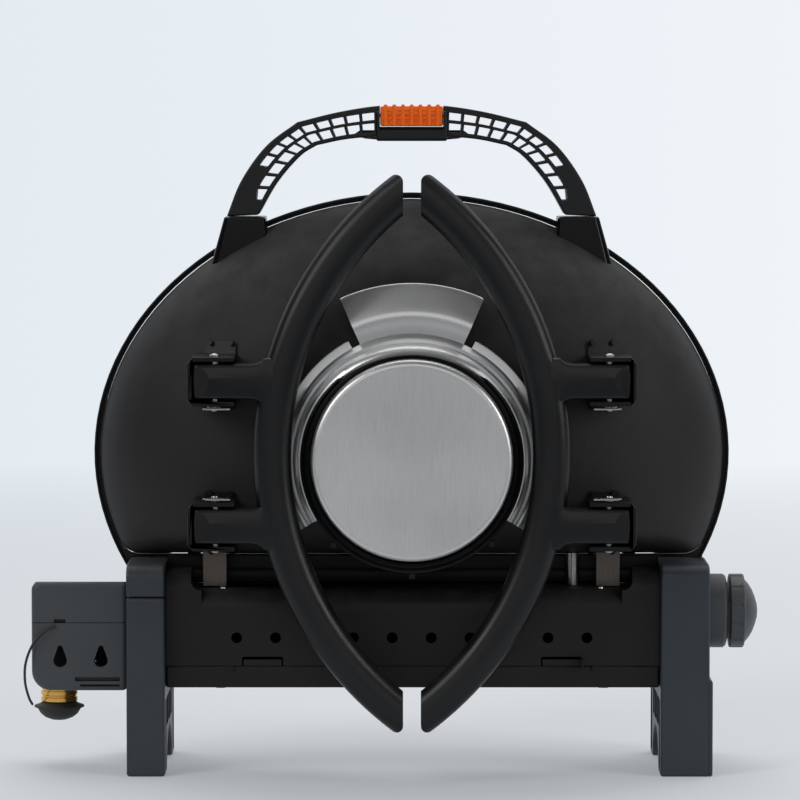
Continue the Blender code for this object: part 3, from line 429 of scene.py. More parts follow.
def weld():
    """Merges corners that lie together and turns all faces outwards."""
    bpy.ops.mesh.select_all(action="SELECT")
    bpy.ops.mesh.remove_doubles(threshold=0.01 * MM)
    bpy.ops.mesh.normals_make_consistent(inside=False)


def modify(piece, kind, **settings):
    """Adds one modifier and applies it."""
    deselect()
    piece.select_set(True)
    bpy.context.view_layer.objects.active = piece
    step = piece.modifiers.new(kind, kind)
    for label, value in settings.items():
        setattr(step, label, value)
    bpy.context.view_layer.update()
    bpy.ops.object.modifier_apply(modifier=step.name)


def cut_or_join(piece, other, operation="DIFFERENCE", solver="EXACT"):
    """Cuts a piece with another one or joins that to it. The other one is used up."""
    modify(piece, "BOOLEAN", object=other, operation=operation, solver=solver)
    bpy.data.objects.remove(other, do_unlink=True)


def fit(piece, body, nodes, material=None, angle=32):
    """Finishes a piece: smooth shading up to an angle, its material, its CAD nodes and body."""
    deselect()
    piece.select_set(True)
    bpy.context.view_layer.objects.active = piece
    bpy.ops.object.transform_apply(location=True, rotation=True, scale=True)
    bpy.ops.object.shade_smooth_by_angle(angle=math.radians(angle))
    modify(piece, "WEIGHTED_NORMAL", keep_sharp=True)
    if material:
        give(piece, material)
    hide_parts(*nodes)
    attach(piece, body)
    return piece


def drawn_shell(name, side, depth):
    """A dome drawn out of a flat ring, scale by scale, given its wall and a turned-in lip."""
    piece = start_piece(name)
    centre = at(0, 0, SHELL_MIDDLE)
    outline = shell_outline(SHELL_WIDTH, SHELL_HEIGHT, SHELL_CUT, SHELL_CORNER)
    draw([at(x, side * 1.0, SHELL_MIDDLE + z) for x, z in outline])
    bpy.ops.mesh.extrude_edges_move(TRANSFORM_OT_translate={"value": (0, side * RIM_DEPTH * MM, 0)})
    scale, reach = 1.0, 0.0
    for wanted in DOME_SCALES:
        out = (depth - RIM_DEPTH) * (1 - wanted ** 3.2) ** (1 / 1.5)
        bpy.ops.mesh.extrude_edges_move(
            TRANSFORM_OT_translate={"value": (0, side * (out - reach) * MM, 0)})
        bpy.ops.transform.resize(value=(wanted / scale, 1, wanted / scale), center_override=centre)
        scale, reach = wanted, out
    bpy.ops.mesh.edge_face_add()
    weld()
    form = bmesh.from_edit_mesh(piece.data)
    if sum(face.normal.y * side for face in form.faces if len(face.verts) > 4) < 0:
        bpy.ops.mesh.flip_normals()
    modify(piece, "SOLIDIFY", thickness=SHELL_WALL * MM, offset=-1.0)
    return piece


def cylinder(name, start, end, radius, sides=64):
    """A round bar between two places, to cut with or to shape further."""
    deselect()
    middle, length = (start + end) / 2, (end - start)
    bpy.ops.mesh.primitive_cylinder_add(vertices=sides, radius=radius * MM, depth=length.length,
                                        location=middle, rotation=length.to_track_quat("Z", "Y").to_euler())
    piece = bpy.context.object
    piece.name = piece.data.name = name
    bpy.ops.object.transform_apply(location=True, rotation=True, scale=True)
    return piece


charcoal = coated("matt charcoal heat-proof paint", (0.0088, 0.0082, 0.0086), (0.0235, 0.022, 0.0228), 0.58,
                  1250, 0.045, dust=0.12, uneven=0.16, specular=0.28)
bowl = drawn_shell("bowl_shell_drawn", -1, BOWL_DEPTH)
cut_or_join(bowl, cylinder("bowl_opening", at(0, -120, SHELL_MIDDLE), at(0, -60, SHELL_MIDDLE), 50))
fit(bowl, "frame", ["bowl_shell"], charcoal, angle=40)


# ---------------------------------------------------------------- rims of bowl and lid
# Black enamelled edge bands with a pressed groove. On the hinge side each has a deep flat flange.
RIM_WIDTH, RIM_CORNER = 5.0, 9.0
BOWL_RIM_CUT, LID_RIM_CUT = 101.0, 93.5
RIM_SECTION = ((0.6, 0.5), (4.5, 0.5), (4.9, 0.9), (5.0, 1.6), (5.0, 5.3), (4.8, 6.1), (4.2, 6.5),
               (3.4, 6.5), (2.9, 5.8), (2.4, 6.5), (0.6, 6.1))


def pick_corners(numbers):
    """Selects corners of the open piece by their order."""
    pick("verts", lambda corner: corner.index in numbers)


def banded_rim(name, side, cut):
    """A band round a shell's mouth, bridged from loop to loop of its section."""
    piece = start_piece(name)
    count = 0
    for width, depth in RIM_SECTION:
        share = width / RIM_WIDTH
        outline = shell_outline(SHELL_WIDTH + width, SHELL_HEIGHT + width,
                                SHELL_CUT + share * (cut - SHELL_CUT),
                                SHELL_CORNER + share * (RIM_CORNER - SHELL_CORNER))
        draw([at(x, side * depth, SHELL_MIDDLE + z) for x, z in outline])
        count = len(outline)
    loops = len(RIM_SECTION)
    for i in range(loops):
        following = (i + 1) % loops
        pick_corners({*range(i * count, (i + 1) * count),
                      *range(following * count, (following + 1) * count)})
        bpy.ops.mesh.bridge_edge_loops()
    weld()
    return piece


black_enamel = coated("satin black enamel", (0.0025, 0.0025, 0.003), (0.006, 0.006, 0.0065), 0.42, 1700, 0.012,
                      dust=0.02, specular=0.22)
fit(banded_rim("bowl_rim_band", -1, BOWL_RIM_CUT), "frame", ["bowl_rim"], black_enamel)
fit(banded_rim("lid_rim_band", 1, LID_RIM_CUT), "lid", ["lid_rim"], black_enamel)


# ---------------------------------------------------------------- drip tray
# A deep-drawn stainless cup with a rolled front edge and an upright brushed grain, pushed into the collar.
FACE_MIDDLE = 246.5


def spun(name, section, centre, axis=(0, -1, 0), across=(1, 0, 0), steps=96, turn=360.0, begin=0.0):
    """A section of (radius, rise) in mm, drawn as a line and spun about an axis through a place."""
    piece = start_piece(name)
    axis, across = Vector(axis), Vector(across)
    across = Matrix.Rotation(math.radians(begin), 3, axis) @ across
    draw([centre + (across * radius + axis * rise) * MM for radius, rise in section], closed=False)
    pick_last(len(section))
    bpy.ops.mesh.spin(steps=steps, angle=math.radians(turn), center=centre, axis=axis)
    weld()
    return piece


# Brushing: long fine scratches along one axis, which change the shine and the height a little.


def brushed(name, colour, darker, roughness, along=(0, 0, 1), rise=0.01, fineness=1.0, metallic=1.0,
            uneven=0.16):
    """Bare metal with fine scratches along one axis, soft smudges and a little dust."""
    material, tree, shader = new_material(name, metallic, roughness)
    stretch = tuple(1.0 if part else 42.0 for part in along)
    scratches = noise(tree, 60.0 * fineness, 4.0, stretch, 0.7)
    smudges = noise(tree, 9.0, 4.0)
    marks = add_effect(tree, smudge_tree, Colour=(*colour, 1.0), Darker=(*darker, 1.0),
                       Roughness=roughness, Roughness_spread=uneven)
    tree.links.new(scratches, marks.inputs["Scratches"])
    tree.links.new(smudges, marks.inputs["Smudges"])
    film = add_effect(tree, dust_tree, Amount=0.05)
    tree.links.new(marks.outputs["Colour"], film.inputs["Colour"])
    tree.links.new(marks.outputs["Roughness"], film.inputs["Roughness"])
    tree.links.new(film.outputs["Colour"], shader.inputs["Base Color"])
    tree.links.new(film.outputs["Roughness"], shader.inputs["Roughness"])
    add_bump(tree, shader, scratches, rise * MM)
    return material


smudge_tree, smudge_in, smudge_out = effect(
    "scratches and smudges",
    [("Colour", (0.6, 0.6, 0.6, 1.0)), ("Darker", (0.4, 0.4, 0.4, 1.0)), ("Roughness", 0.3),
     ("Roughness spread", 0.15), ("Scratches", 0.5), ("Smudges", 0.5)],
    [("Colour", "NodeSocketColor"), ("Roughness", "NodeSocketFloat")])
lines = spread(smudge_tree, smudge_in.outputs["Scratches"], 0.3, 0.7)
smears = spread(smudge_tree, smudge_in.outputs["Smudges"], 0.35, 0.7)
tone = maths(smudge_tree, "ADD", maths(smudge_tree, "MULTIPLY", lines, 0.6),
             maths(smudge_tree, "MULTIPLY", smears, 0.4))
smudge_tree.links.new(mixed(smudge_tree, tone, smudge_in.outputs["Darker"], smudge_in.outputs["Colour"]),
                      smudge_out.inputs["Colour"])
smudge_tree.links.new(
    maths(smudge_tree, "ADD", smudge_in.outputs["Roughness"],
          maths(smudge_tree, "MULTIPLY", smudge_in.outputs["Roughness spread"],
                maths(smudge_tree, "SUBTRACT", tone, 0.5))), smudge_out.inputs["Roughness"])

stainless = brushed("upright brushed stainless", (0.74, 0.74, 0.74), (0.56, 0.56, 0.56), 0.36)
TRAY_SECTION = ((0, 33.4), (69, 33.4), (71, 33.8), (73, 33.5), (74.6, 32.6), (75.6, 31.2), (76, 29.4),
                (76, 15), (75, 15), (75, 29.2), (74.4, 30.8), (73, 32.0), (70, 32.4), (0, 32.4))
tray = spun("drip_tray_cup", TRAY_SECTION, at(0, -96, FACE_MIDDLE))
fit(tray, "tray", ["grease_tray"], stainless)


# ---------------------------------------------------------------- collar of the drip tray
# A spun black ring with two grooves, spot-welded round the opening of the bowl, with three stops.
COLLAR_MIDDLE = 245.0
COLLAR_SECTION = ((46, 8), (48, 8), (48, -4.6), (84, -4.6), (84.4, 12), (84.0, 14.6), (82.8, 15.4),
                  (81.9, 14.6), (81.3, 13.6), (80.6, 14.8), (79.7, 15.4), (78.9, 14.8), (78.4, 13.4),
                  (77.8, 13.2), (77.6, -1.6), (52, -1.6), (50, 0.4), (50, 8.6), (46, 8.6), (46, 8))
collar = spun("tray_collar_ring", COLLAR_SECTION, at(0, -100.8, COLLAR_MIDDLE))


def rounded_block(name, low, high, radius=1.0, segments=3):
    """A cube at its size and place with all its edges rounded."""
    deselect()
    bpy.ops.mesh.primitive_cube_add(size=1)
    piece = bpy.context.object
    piece.name = piece.data.name = name
    bpy.ops.object.mode_set(mode="EDIT")
    size = Vector(high) - Vector(low)
    bpy.ops.transform.resize(value=size * MM)
    bpy.ops.transform.translate(value=at(*((Vector(low) + Vector(high)) / 2)))
    if radius:
        bpy.ops.mesh.bevel(offset=radius * MM, segments=segments, affect="EDGES")
    deselect()
    return piece


for turned_to in (227, 270, 314):
    angle = math.radians(turned_to)
    stop_x, stop_z = 86.6 * math.cos(angle), COLLAR_MIDDLE + 86.6 * math.sin(angle)
    stop = rounded_block("stop", (stop_x - 2.6, -113, stop_z - 2.4), (stop_x + 2.6, -104, stop_z + 2.4), 0.9)
    cut_or_join(collar, stop, "UNION")
fit(collar, "frame", ["tray_collar"], black_enamel)


# ---------------------------------------------------------------- heat shield
# Pressed stainless sheet, open below, with two ridges round the collar and a bent tab above it. It keeps
# the heat of the bowl off the folded legs.
SHIELD_FROM, SHIELD_TURN, SHIELD_STEPS = -32.0, 244.0, 122
TAB_FROM, TAB_TURN, TAB_STEPS = 66.0, 48.0, 24
SHIELD_SECTION = ((79.8, 5.0), (81.0, 7.2), (83.0, 8.6), (85.4, 8.2), (87.4, 6.2), (88.8, 4.4),
                  (89.8, 4.0), (90.8, 4.6), (92.0, 5.4), (93.2, 4.6), (94.4, 3.0), (96.0, 2.2), (99.0, 2.0),
                  (101.6, 2.0), (102.2, 1.4))
TAB_SECTION = ((96.0, 2.2), (100.0, 2.6), (104.0, 3.8), (107.5, 4.9), (110.5, 5.0), (113.5, 4.2),
               (118.0, 2.2), (124.0, -0.6), (130.0, -3.4), (132.8, -4.8), (133.6, -5.8))
shield_place = at(0, -102.5, COLLAR_MIDDLE)
tab = spun("tab", TAB_SECTION, shield_place, steps=TAB_STEPS, turn=-TAB_TURN, begin=TAB_FROM)
shield = spun("heat_shield_pressing", SHIELD_SECTION, shield_place, steps=SHIELD_STEPS,
              turn=-SHIELD_TURN, begin=SHIELD_FROM)


def from_middle(point, middle):
    """How far a place is from the axis through the middle, in mm, and how far round from +X, in degrees."""
    away = (point - middle) / MM
    return math.hypot(away.x, away.z), math.degrees(math.atan2(away.z, away.x))


def by_the_tab(face):
    """True for the flange's faces where the tab and its two relief notches are."""
    radius, turned_to = from_middle(face.calc_center_median(), shield_place)
    return radius > 96.0 and abs(turned_to - 90) < TAB_TURN / 2 + 4


pick("faces", by_the_tab)
bpy.ops.mesh.delete(type="FACE")
deselect()
tab.select_set(True)
shield.select_set(True)
bpy.context.view_layer.objects.active = shield
bpy.ops.object.join()
open_piece(shield)
weld()
form = bmesh.from_edit_mesh(shield.data)
for corner in form.verts:
    radius, turned_to = from_middle(corner.co, shield_place)
    lean = max(0.0, math.sin(math.radians(turned_to))) ** 2 * max(0.0, min(1.0, (96.0 - radius) / 12.0))
    corner.co.y -= 8.5 * lean * MM
bmesh.update_edit_mesh(shield.data)


def is_end(corner):
    """True for the free corners of the tab and of both wings."""
    return len(corner.link_edges) == 2 and from_middle(corner.co, shield_place)[0] > 90


pick("verts", is_end)
bpy.ops.mesh.bevel(offset=3.2 * MM, segments=5, affect="VERTICES")
bpy.ops.mesh.select_all(action="SELECT")
if sum(face.normal.y * face.calc_area() for face in bmesh.from_edit_mesh(shield.data).faces) > 0:
    bpy.ops.mesh.flip_normals()
modify(shield, "SOLIDIFY", thickness=1.2 * MM, offset=-1.0)
fit(shield, "frame", ["heat_shield"], stainless)


# ---------------------------------------------------------------- folding legs
# Glass-filled nylon mouldings: an oval limb bent to an arc, cut upright at both tips, with two arms that
# turn on pins in the brackets. They fold against the bowl and swing out to stand on.
LEG_CENTRE_X, LEG_MIDDLE, LEG_FRONT = 142.0, 251.0, -120.0
LEG_ARC, LEG_HALF_WIDTH, LEG_HALF_DEPTH, LEG_TIP = 247.0, 14.3, 12.0, 6.7
LEG_REACH = 57.0
ARM_MIDDLES = (306.0, 197.0)
ARM_END, ARM_HALF_HEIGHT = 163.5, 13.0
PIN_X = 148.0


ARM_SECTION = ((10, -13), (-7.2, -13), (-9.2, -12.2), (-10, -10.4), (-11.1, 2.6), (-10, 10.4), (-9.2, 12.2),
               (-7.2, 13), (10, 13))
ARM_FLARE = ((-122.0, 1.0), (-118.0, 1.03), (-115.0, 1.10), (-112.6, 1.22), (-110.8, 1.38), (-104.0, 1.4))


def flared_arm(level):
    """One arm: a section with a ridged front, extruded inwards and widened where it meets the limb."""
    piece = start_piece("arm")
    draw([at(-ARM_END, LEG_FRONT + y, level + z) for y, z in ARM_SECTION], fill=True)
    reach, wide = -ARM_END, 1.0
    for x, width in ARM_FLARE:
        bpy.ops.mesh.extrude_region_move(TRANSFORM_OT_translate={"value": ((x - reach) * MM, 0, 0)})
        bpy.ops.transform.resize(value=(1, 1, width / wide), center_override=at(x, LEG_FRONT, level))
        reach, wide = x, width
    weld()
    outer = at(-ARM_END, 0, 0).x
    pick("edges", lambda e: all(abs(v.co.x - outer) < 0.05 * MM for v in e.verts))
    bpy.ops.mesh.bevel(offset=2.2 * MM, segments=4, affect="EDGES")
    deselect()
    return piece


def rounded(piece, width, segments=3, angle=35):
    """Rounds the real edges of a piece."""
    modify(piece, "BEVEL", width=width * MM, segments=segments, limit_method="ANGLE",
           angle_limit=math.radians(angle), use_clamp_overlap=True)
    return piece


def plate(name, points, push, width=0.0, segments=3):
    """An outline drawn, filled and pushed out by a distance in mm, with its edges rounded."""
    piece = start_piece(name)
    draw(points, fill=True)
    bpy.ops.mesh.extrude_region_move(TRANSFORM_OT_translate={"value": Vector(push) * MM})
    weld()
    deselect()
    return rounded(piece, width, segments) if width else piece


left_leg = start_piece("left_leg_moulding")
section = []
for i in range(32):
    angle = math.tau * i / 32
    across = LEG_ARC + LEG_HALF_WIDTH * math.copysign(abs(math.cos(angle)) ** 0.85, math.cos(angle))
    deep = LEG_HALF_DEPTH * math.copysign(abs(math.sin(angle)) ** 0.85, math.sin(angle))
    start = math.radians(LEG_REACH)
    section.append(at(LEG_CENTRE_X - across * math.cos(start), LEG_FRONT + deep,
                      LEG_MIDDLE + across * math.sin(start)))
draw(section, fill=True)
bpy.ops.mesh.spin(steps=76, angle=math.radians(-2 * LEG_REACH), center=at(LEG_CENTRE_X, 0, LEG_MIDDLE),
                  axis=(0, -1, 0))
weld()
bpy.ops.mesh.select_all(action="SELECT")
bpy.ops.mesh.bisect(plane_co=at(-LEG_TIP, 0, 0), plane_no=(1, 0, 0), use_fill=True, clear_outer=True)
weld()
deselect()
TIP_ROUNDING = 5.5
for side in (-1, 1):
    outer = LEG_ARC + LEG_HALF_WIDTH
    middle = Vector((-LEG_TIP - TIP_ROUNDING, 0))
    middle.y = math.sqrt((outer - TIP_ROUNDING) ** 2 - (middle.x - LEG_CENTRE_X) ** 2)
    away = math.atan2(middle.y, middle.x - LEG_CENTRE_X)
    corner = [(middle.x + TIP_ROUNDING * math.cos(away * i / 12), middle.y + TIP_ROUNDING * math.sin(away * i / 12))
              for i in range(13)]
    corner += [(corner[-1][0], corner[-1][1] + 30), (20, corner[-1][1] + 30), (20, middle.y)]
    cut_or_join(left_leg, plate("tip_corner", [at(x, -150, LEG_MIDDLE + side * z) for x, z in corner], (0, 60, 0)),
                solver="MANIFOLD")
rounded(left_leg, 2.6, 4, 40)
for level in ARM_MIDDLES:
    cut_or_join(left_leg, flared_arm(level), "UNION")
for level in ARM_MIDDLES:
    cut_or_join(left_leg, cylinder("knuckle", at(-ARM_END, -140, level), at(-ARM_END, -129.6, level), 11.7))
    cut_or_join(left_leg, cylinder("bore", at(-PIN_X, LEG_FRONT, level - 30),
                                   at(-PIN_X, LEG_FRONT, level + 30), 3.3, 32))


def mirrored(piece, name):
    """A copy of a piece, turned over to the other side of the bowl's middle."""
    deselect()
    piece.select_set(True)
    bpy.context.view_layer.objects.active = piece
    bpy.ops.object.duplicate()
    twin = bpy.context.object
    twin.name = twin.data.name = name
    open_piece(twin)
    bpy.ops.mesh.select_all(action="SELECT")
    bpy.ops.transform.resize(value=(-1, 1, 1), center_override=at(0, 0, 0))
    bpy.ops.mesh.flip_normals()
    deselect()
    return twin


black_nylon = coated("satin black glass-filled nylon", (0.0016, 0.0018, 0.0024), (0.004, 0.0044, 0.0056), 0.34,
                     1100, 0.03, dust=0.05, uneven=0.12, specular=0.36)
right_leg = mirrored(left_leg, "right_leg_moulding")
fit(left_leg, "left_leg_body", ["left_leg"], black_nylon)
fit(right_leg, "right_leg_body", ["right_leg"], black_nylon)


# ---------------------------------------------------------------- leg brackets, pins and clips
# Folded black steel straps, welded to the bowl on a small base plate with two nubs. A headed pin goes
# through each arm, and a spring clip holds it.
def solid_dome(name, side, depth, grow=0.0):
    """A solid of the shell's outer shape, grown by some mm: it trims what stands on the shell."""
    piece = start_piece(name)
    centre = at(0, 0, SHELL_MIDDLE)
    outline = shell_outline(SHELL_WIDTH + grow, SHELL_HEIGHT + grow, SHELL_CUT + grow, SHELL_CORNER)
    draw([at(x, 0, SHELL_MIDDLE + z) for x, z in outline], fill=True)
    bpy.ops.mesh.extrude_region_move(
        TRANSFORM_OT_translate={"value": (0, side * (RIM_DEPTH + 1 + grow) * MM, 0)})
    scale, reach = 1.0, 0.0
    for wanted in DOME_SCALES:
        out = (depth - RIM_DEPTH) * (1 - wanted ** 3.2) ** (1 / 1.5)
        bpy.ops.mesh.extrude_region_move(
            TRANSFORM_OT_translate={"value": (0, side * (out - reach) * MM, 0)})
        bpy.ops.transform.resize(value=(wanted / scale, 1, wanted / scale), center_override=centre)
        scale, reach = wanted, out
    weld()
    deselect()
    return piece


def twin_of(piece, name):
    """A copy of a piece with its own mesh, in the same place."""
    deselect()
    piece.select_set(True)
    bpy.context.view_layer.objects.active = piece
    bpy.ops.object.duplicate()
    bpy.context.object.name = bpy.context.object.data.name = name
    return bpy.context.object


bowl_seat = solid_dome("bowl_seat", -1, BOWL_DEPTH, -1.2)
bowl_skin = solid_dome("bowl_skin", -1, BOWL_DEPTH, 2.2)
nub_skin = solid_dome("nub_skin", -1, BOWL_DEPTH, 4.6)
STRAP_THICK, EAR_END = 3.4, 133.0


def leg_bracket(name, level, outward):
    """A strap folded round the end of an arm, with its base plate, on the left side."""
    high, low = ARM_HALF_HEIGHT + 2.0, ARM_HALF_HEIGHT + 2.0 + STRAP_THICK
    outline = [(-EAR_END, high), (-ARM_END - 1.4, high), (-ARM_END - 1.4, -high), (-EAR_END, -high),
               (-EAR_END, -low), (-ARM_END - 1.4 - STRAP_THICK + 4, -low), (-ARM_END - 1.4 - STRAP_THICK, -low + 5),
               (-ARM_END - 1.4 - STRAP_THICK, low - 5), (-ARM_END - 1.4 - STRAP_THICK + 4, low), (-EAR_END, low)]
    strap = plate(name, [at(x, -130.5, level + z) for x, z in outline], (0, 70, 0), 0.9)
    cut_or_join(strap, twin_of(bowl_seat, "seat"), solver="MANIFOLD")
    low_z, high_z = sorted((-outward * 23.0, outward * 28.0))
    base = rounded_block("base", (-157.3, -125, level + low_z), (-EAR_END - 0.7, -40, level + high_z), 1.6)
    cut_or_join(base, twin_of(bowl_skin, "skin"), "INTERSECT", "MANIFOLD")
    cut_or_join(base, twin_of(bowl_seat, "seat"), solver="MANIFOLD")
    nubs = []
    for x, z in ((-153.5, high_z - 1), (-137.5, high_z - 1), (-153.5, low_z + 1), (-137.5, low_z + 1)):
        nubs.append(cylinder("nub", at(x, -110, level + z), at(x, -40, level + z), 2.0, 20))
        cut_or_join(nubs[-1], twin_of(nub_skin, "skin"), "INTERSECT", "MANIFOLD")
        cut_or_join(nubs[-1], twin_of(bowl_seat, "seat"), solver="MANIFOLD")
    deselect()
    for part in (base, *nubs, strap):
        part.select_set(True)
    bpy.context.view_layer.objects.active = strap
    bpy.ops.object.join()
    return strap


bright_zinc = brushed("bright zinc-plated steel", (0.5, 0.49, 0.47), (0.36, 0.35, 0.34), 0.28, rise=0.004)
for level, level_name in zip(ARM_MIDDLES, ("upper", "lower")):
    outward = 1 if level_name == "upper" else -1
    pieces = {"bracket": leg_bracket(f"left_{level_name}_bracket_strap", level, outward)}
    head = level + outward * (ARM_HALF_HEIGHT + 5.5)
    reach = 2 * ARM_HALF_HEIGHT + 14
    pieces["pin"] = spun(f"left_{level_name}_pin_headed",
                         ((0, 2.4), (1.9, 2.2), (3.2, 1.5), (3.8, 0.6), (3.8, 0), (3, 0), (3, -reach),
                          (2.4, -reach - 1), (0, -reach - 1)),
                         at(-PIN_X, LEG_FRONT, head), axis=(0, 0, outward), steps=32)
    clip = spun(f"left_{level_name}_clip_spring",
                ((3.1, 0), (3.1, 1.1), (5.6, 1.1), (6.0, 0.7), (6.0, 0.3), (5.6, 0), (3.1, 0)),
                at(-PIN_X, LEG_FRONT, level - outward * (ARM_HALF_HEIGHT + 5.8)), axis=(0, 0, -outward), steps=40)
    clip_z = level - outward * (ARM_HALF_HEIGHT + 7.6)
    for low, high in (((-157.0, -127, -0.8), (-141, -124.6, 0.8)), ((-155, -131.0, -0.7), (-136, -129.2, 0.7)),
                      ((-139.5, -131, -0.7), (-137.9, -118, 0.7))):
        wire = rounded_block("wire", (low[0], low[1], clip_z + low[2]), (high[0], high[1], clip_z + high[2]), 0.5)
        cut_or_join(clip, wire, "UNION")
    pieces["spring_clip"] = clip
    for what, piece in pieces.items():
        finish = black_enamel if what == "bracket" else bright_zinc
        other = mirrored(piece, piece.name.replace("left", "right"))
        fit(piece, "frame", [f"left_{level_name}_{what}"], finish)
        fit(other, "frame", [f"right_{level_name}_{what}"], finish)


# ---------------------------------------------------------------- hinge housing
# Bent sheet steel with charcoal paint: a cover with raised ends and a row of air holes, screwed to a
# shallow floor tray along a seam just below two slots.
HOUSING_LEFT, HOUSING_RIGHT, HOUSING_FRONT, HOUSING_BACK = -188.2, 189.7, -60.0, 14.0
HOUSING_BOTTOM, HOUSING_SEAM, HOUSING_TOP, HOUSING_END_TOP = 67.0, 83.7, 142.0, 157.0
FRONT_ROUNDING, SHOULDER_INSIDE = 15.0, 169.0


def side_profile(front, back, bottom, top, radius):
    """The outline of a rounded cover, from its end."""
    points = [(front, bottom), (back, bottom), (back, top)]
    for i in range(13):
        angle = math.pi / 2 * (1 + i / 12)
        points.append((front + radius + radius * math.cos(angle), top - radius + radius * math.sin(angle)))
    return points


cover = plate("housing_cover_sheet", [at(HOUSING_LEFT, y, z) for y, z in
                                      side_profile(HOUSING_FRONT, HOUSING_BACK, HOUSING_SEAM + 0.3, HOUSING_TOP,
                                                   FRONT_ROUNDING)], (HOUSING_RIGHT - HOUSING_LEFT, 0, 0))
for sign, end in ((-1, HOUSING_LEFT), (1, HOUSING_RIGHT)):
    inner = sign * SHOULDER_INSIDE
    shoulder = plate("shoulder", [at(inner - sign * 8, y, z) for y, z in
                                  side_profile(HOUSING_FRONT, -22.0, HOUSING_TOP - 30, HOUSING_END_TOP,
                                               FRONT_ROUNDING)], (end - inner + sign * 8, 0, 0))
    notch = [(inner, HOUSING_END_TOP + 5), (inner - sign * 20, HOUSING_END_TOP + 5), (inner - sign * 20, HOUSING_TOP)]
    for i in range(13):
        angle = math.pi / 2 * i / 12
        notch.append((inner - sign * 7 * (1 - math.sin(angle)), HOUSING_TOP + 7 * (1 - math.cos(angle))))
    cut_or_join(shoulder, plate("notch", [at(x, -90, z) for x, z in notch], (0, 90, 0)))
    cut_or_join(cover, shoulder, "UNION")
inside = plate("inside", [at(HOUSING_LEFT + 1.6, y, z) for y, z in
                          side_profile(HOUSING_FRONT + 1.6, HOUSING_BACK - 1.6, HOUSING_SEAM - 5,
                                       HOUSING_TOP - 1.6, FRONT_ROUNDING - 1.6)],
               (HOUSING_RIGHT - HOUSING_LEFT - 3.2, 0, 0))
cut_or_join(cover, inside)
cut_or_join(cover, rounded_block("rear_flange", (-160, HOUSING_BACK - 1.5, HOUSING_TOP - 3),
                                 (160, HOUSING_BACK - 0.1, 164.5), 0), "UNION")
rounded(cover, 0.5, 2, 50)
for i in range(10):
    x = (i - 4.5) * 29.8
    cut_or_join(cover, cylinder("air_hole", at(x, -80, 105.4), at(x, -50, 105.4), 4.2, 40))
for low in (-129.0, 100.0):
    for corner_low, corner_high in (((low, 88.6), (low + 29.5, 90.9)), ((low - 1.1, 83), (low + 0.2, 90.4)),
                                    ((low + 29.3, 83), (low + 30.6, 90.4))):
        cut_or_join(cover, rounded_block("slot", (corner_low[0], -80, corner_low[1]),
                                         (corner_high[0], -50, corner_high[1]), 0))
for x, z in ((HOUSING_LEFT, 110.0), (HOUSING_RIGHT, 121.0)):
    cut_or_join(cover, cylinder("end_hole", at(x - 5, -10, z), at(x + 5, -10, z), 9, 40))
housing_paint = coated("charcoal paint on sheet steel", (0.0042, 0.0036, 0.0037), (0.010, 0.0084, 0.0086), 0.5,
                       1250, 0.04, dust=0.08, uneven=0.16, specular=0.28)
fit(cover, "frame", ["housing_cover"], housing_paint)

pan = rounded_block("housing_floor_tray", (HOUSING_LEFT, HOUSING_FRONT, HOUSING_BOTTOM),
                    (HOUSING_RIGHT, HOUSING_BACK, HOUSING_SEAM), 1.6, 4)
cut_or_join(pan, rounded_block("inside", (HOUSING_LEFT + 2, HOUSING_FRONT + 1.6, HOUSING_BOTTOM + 1.6),
                               (HOUSING_RIGHT - 2, HOUSING_BACK - 1.6, HOUSING_SEAM + 5), 0))
for x in (-146.6, 147.0):
    cut_or_join(pan, rounded_block("bump", (x - 3.8, -52, HOUSING_BOTTOM - 1.3), (x + 3.8, -44, HOUSING_BOTTOM + 1),
                                   0.9), "UNION")
fit(pan, "frame", ["housing_floor"], housing_paint)
for number, x in enumerate((-136.4, 138.2)):
    rivet = spun(f"housing_rivet_{number}", ((0, 1.0), (1.2, 0.8), (1.9, 0.3), (2.1, -1.5), (0, -1.5)),
                 at(x, HOUSING_FRONT, 81.6), steps=20)
    deselect()
    bpy.context.view_layer.objects.active = rivet
    give(rivet, black_enamel)
    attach(rivet, "frame")

# ---------------------------------------------------------------- hinge straps, their screws and the burner pipe
# Bare rolled steel straps carry the bowl on the housing, each with one small bright screw.
bare_steel = brushed("bare rolled steel", (0.16, 0.135, 0.12), (0.09, 0.076, 0.066), 0.42, uneven=0.3)
for label, low, screw in (("left", -161.0, -144.8), ("right", 142.0, 145.0)):
    strap = rounded_block(f"{label}_hinge_strap_bent", (low, -34, HOUSING_TOP + 0.3), (low + 18.5, -31.8, 172), 0.5)
    cut_or_join(strap, twin_of(bowl_seat, "seat"))
    fit(strap, "frame", [f"{label}_hinge_strap"], bare_steel)
    fastener = spun(f"{label}_strap_screw", ((0, 2.0), (1.5, 1.8), (2.6, 1.0), (2.8, 0), (2.8, -1.2), (0, -1.2)),
                    at(screw, -44, HOUSING_TOP), axis=(0, 0, 1), steps=20)
    give(fastener, bright_zinc)
    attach(fastener, "frame")
pipe = spun("burner_feed_tube", ((4.2, -0.3), (5, -0.3), (5, 24.5), (4.2, 24.5), (4.2, -0.3)),
            at(124.5, -20, HOUSING_TOP + 0.6), axis=(0, 0, 1), steps=40)
fit(pipe, "frame", ["burner_feed_pipe"], bright_zinc)


# ---------------------------------------------------------------- feet
# Thick blue-grey mouldings with an arch below, pockets on the inner side and soft edges. The left one
# is in two pieces, with a seam under the hinge head.
FOOT_FRONT, FOOT_BACK, FOOT_TOP, FOOT_SEAM = -73.0, 70.0, 162.7, 137.5
HINGE_Y, HINGE_Z, GAS_Y, PIPE_Z, KNOB_Z = 30.0, 148.0, -10.0, 110.0, 121.0
FOOT_LEFT, FOOT_RIGHT = (-218.0, -188.5), (190.0, 227.5)


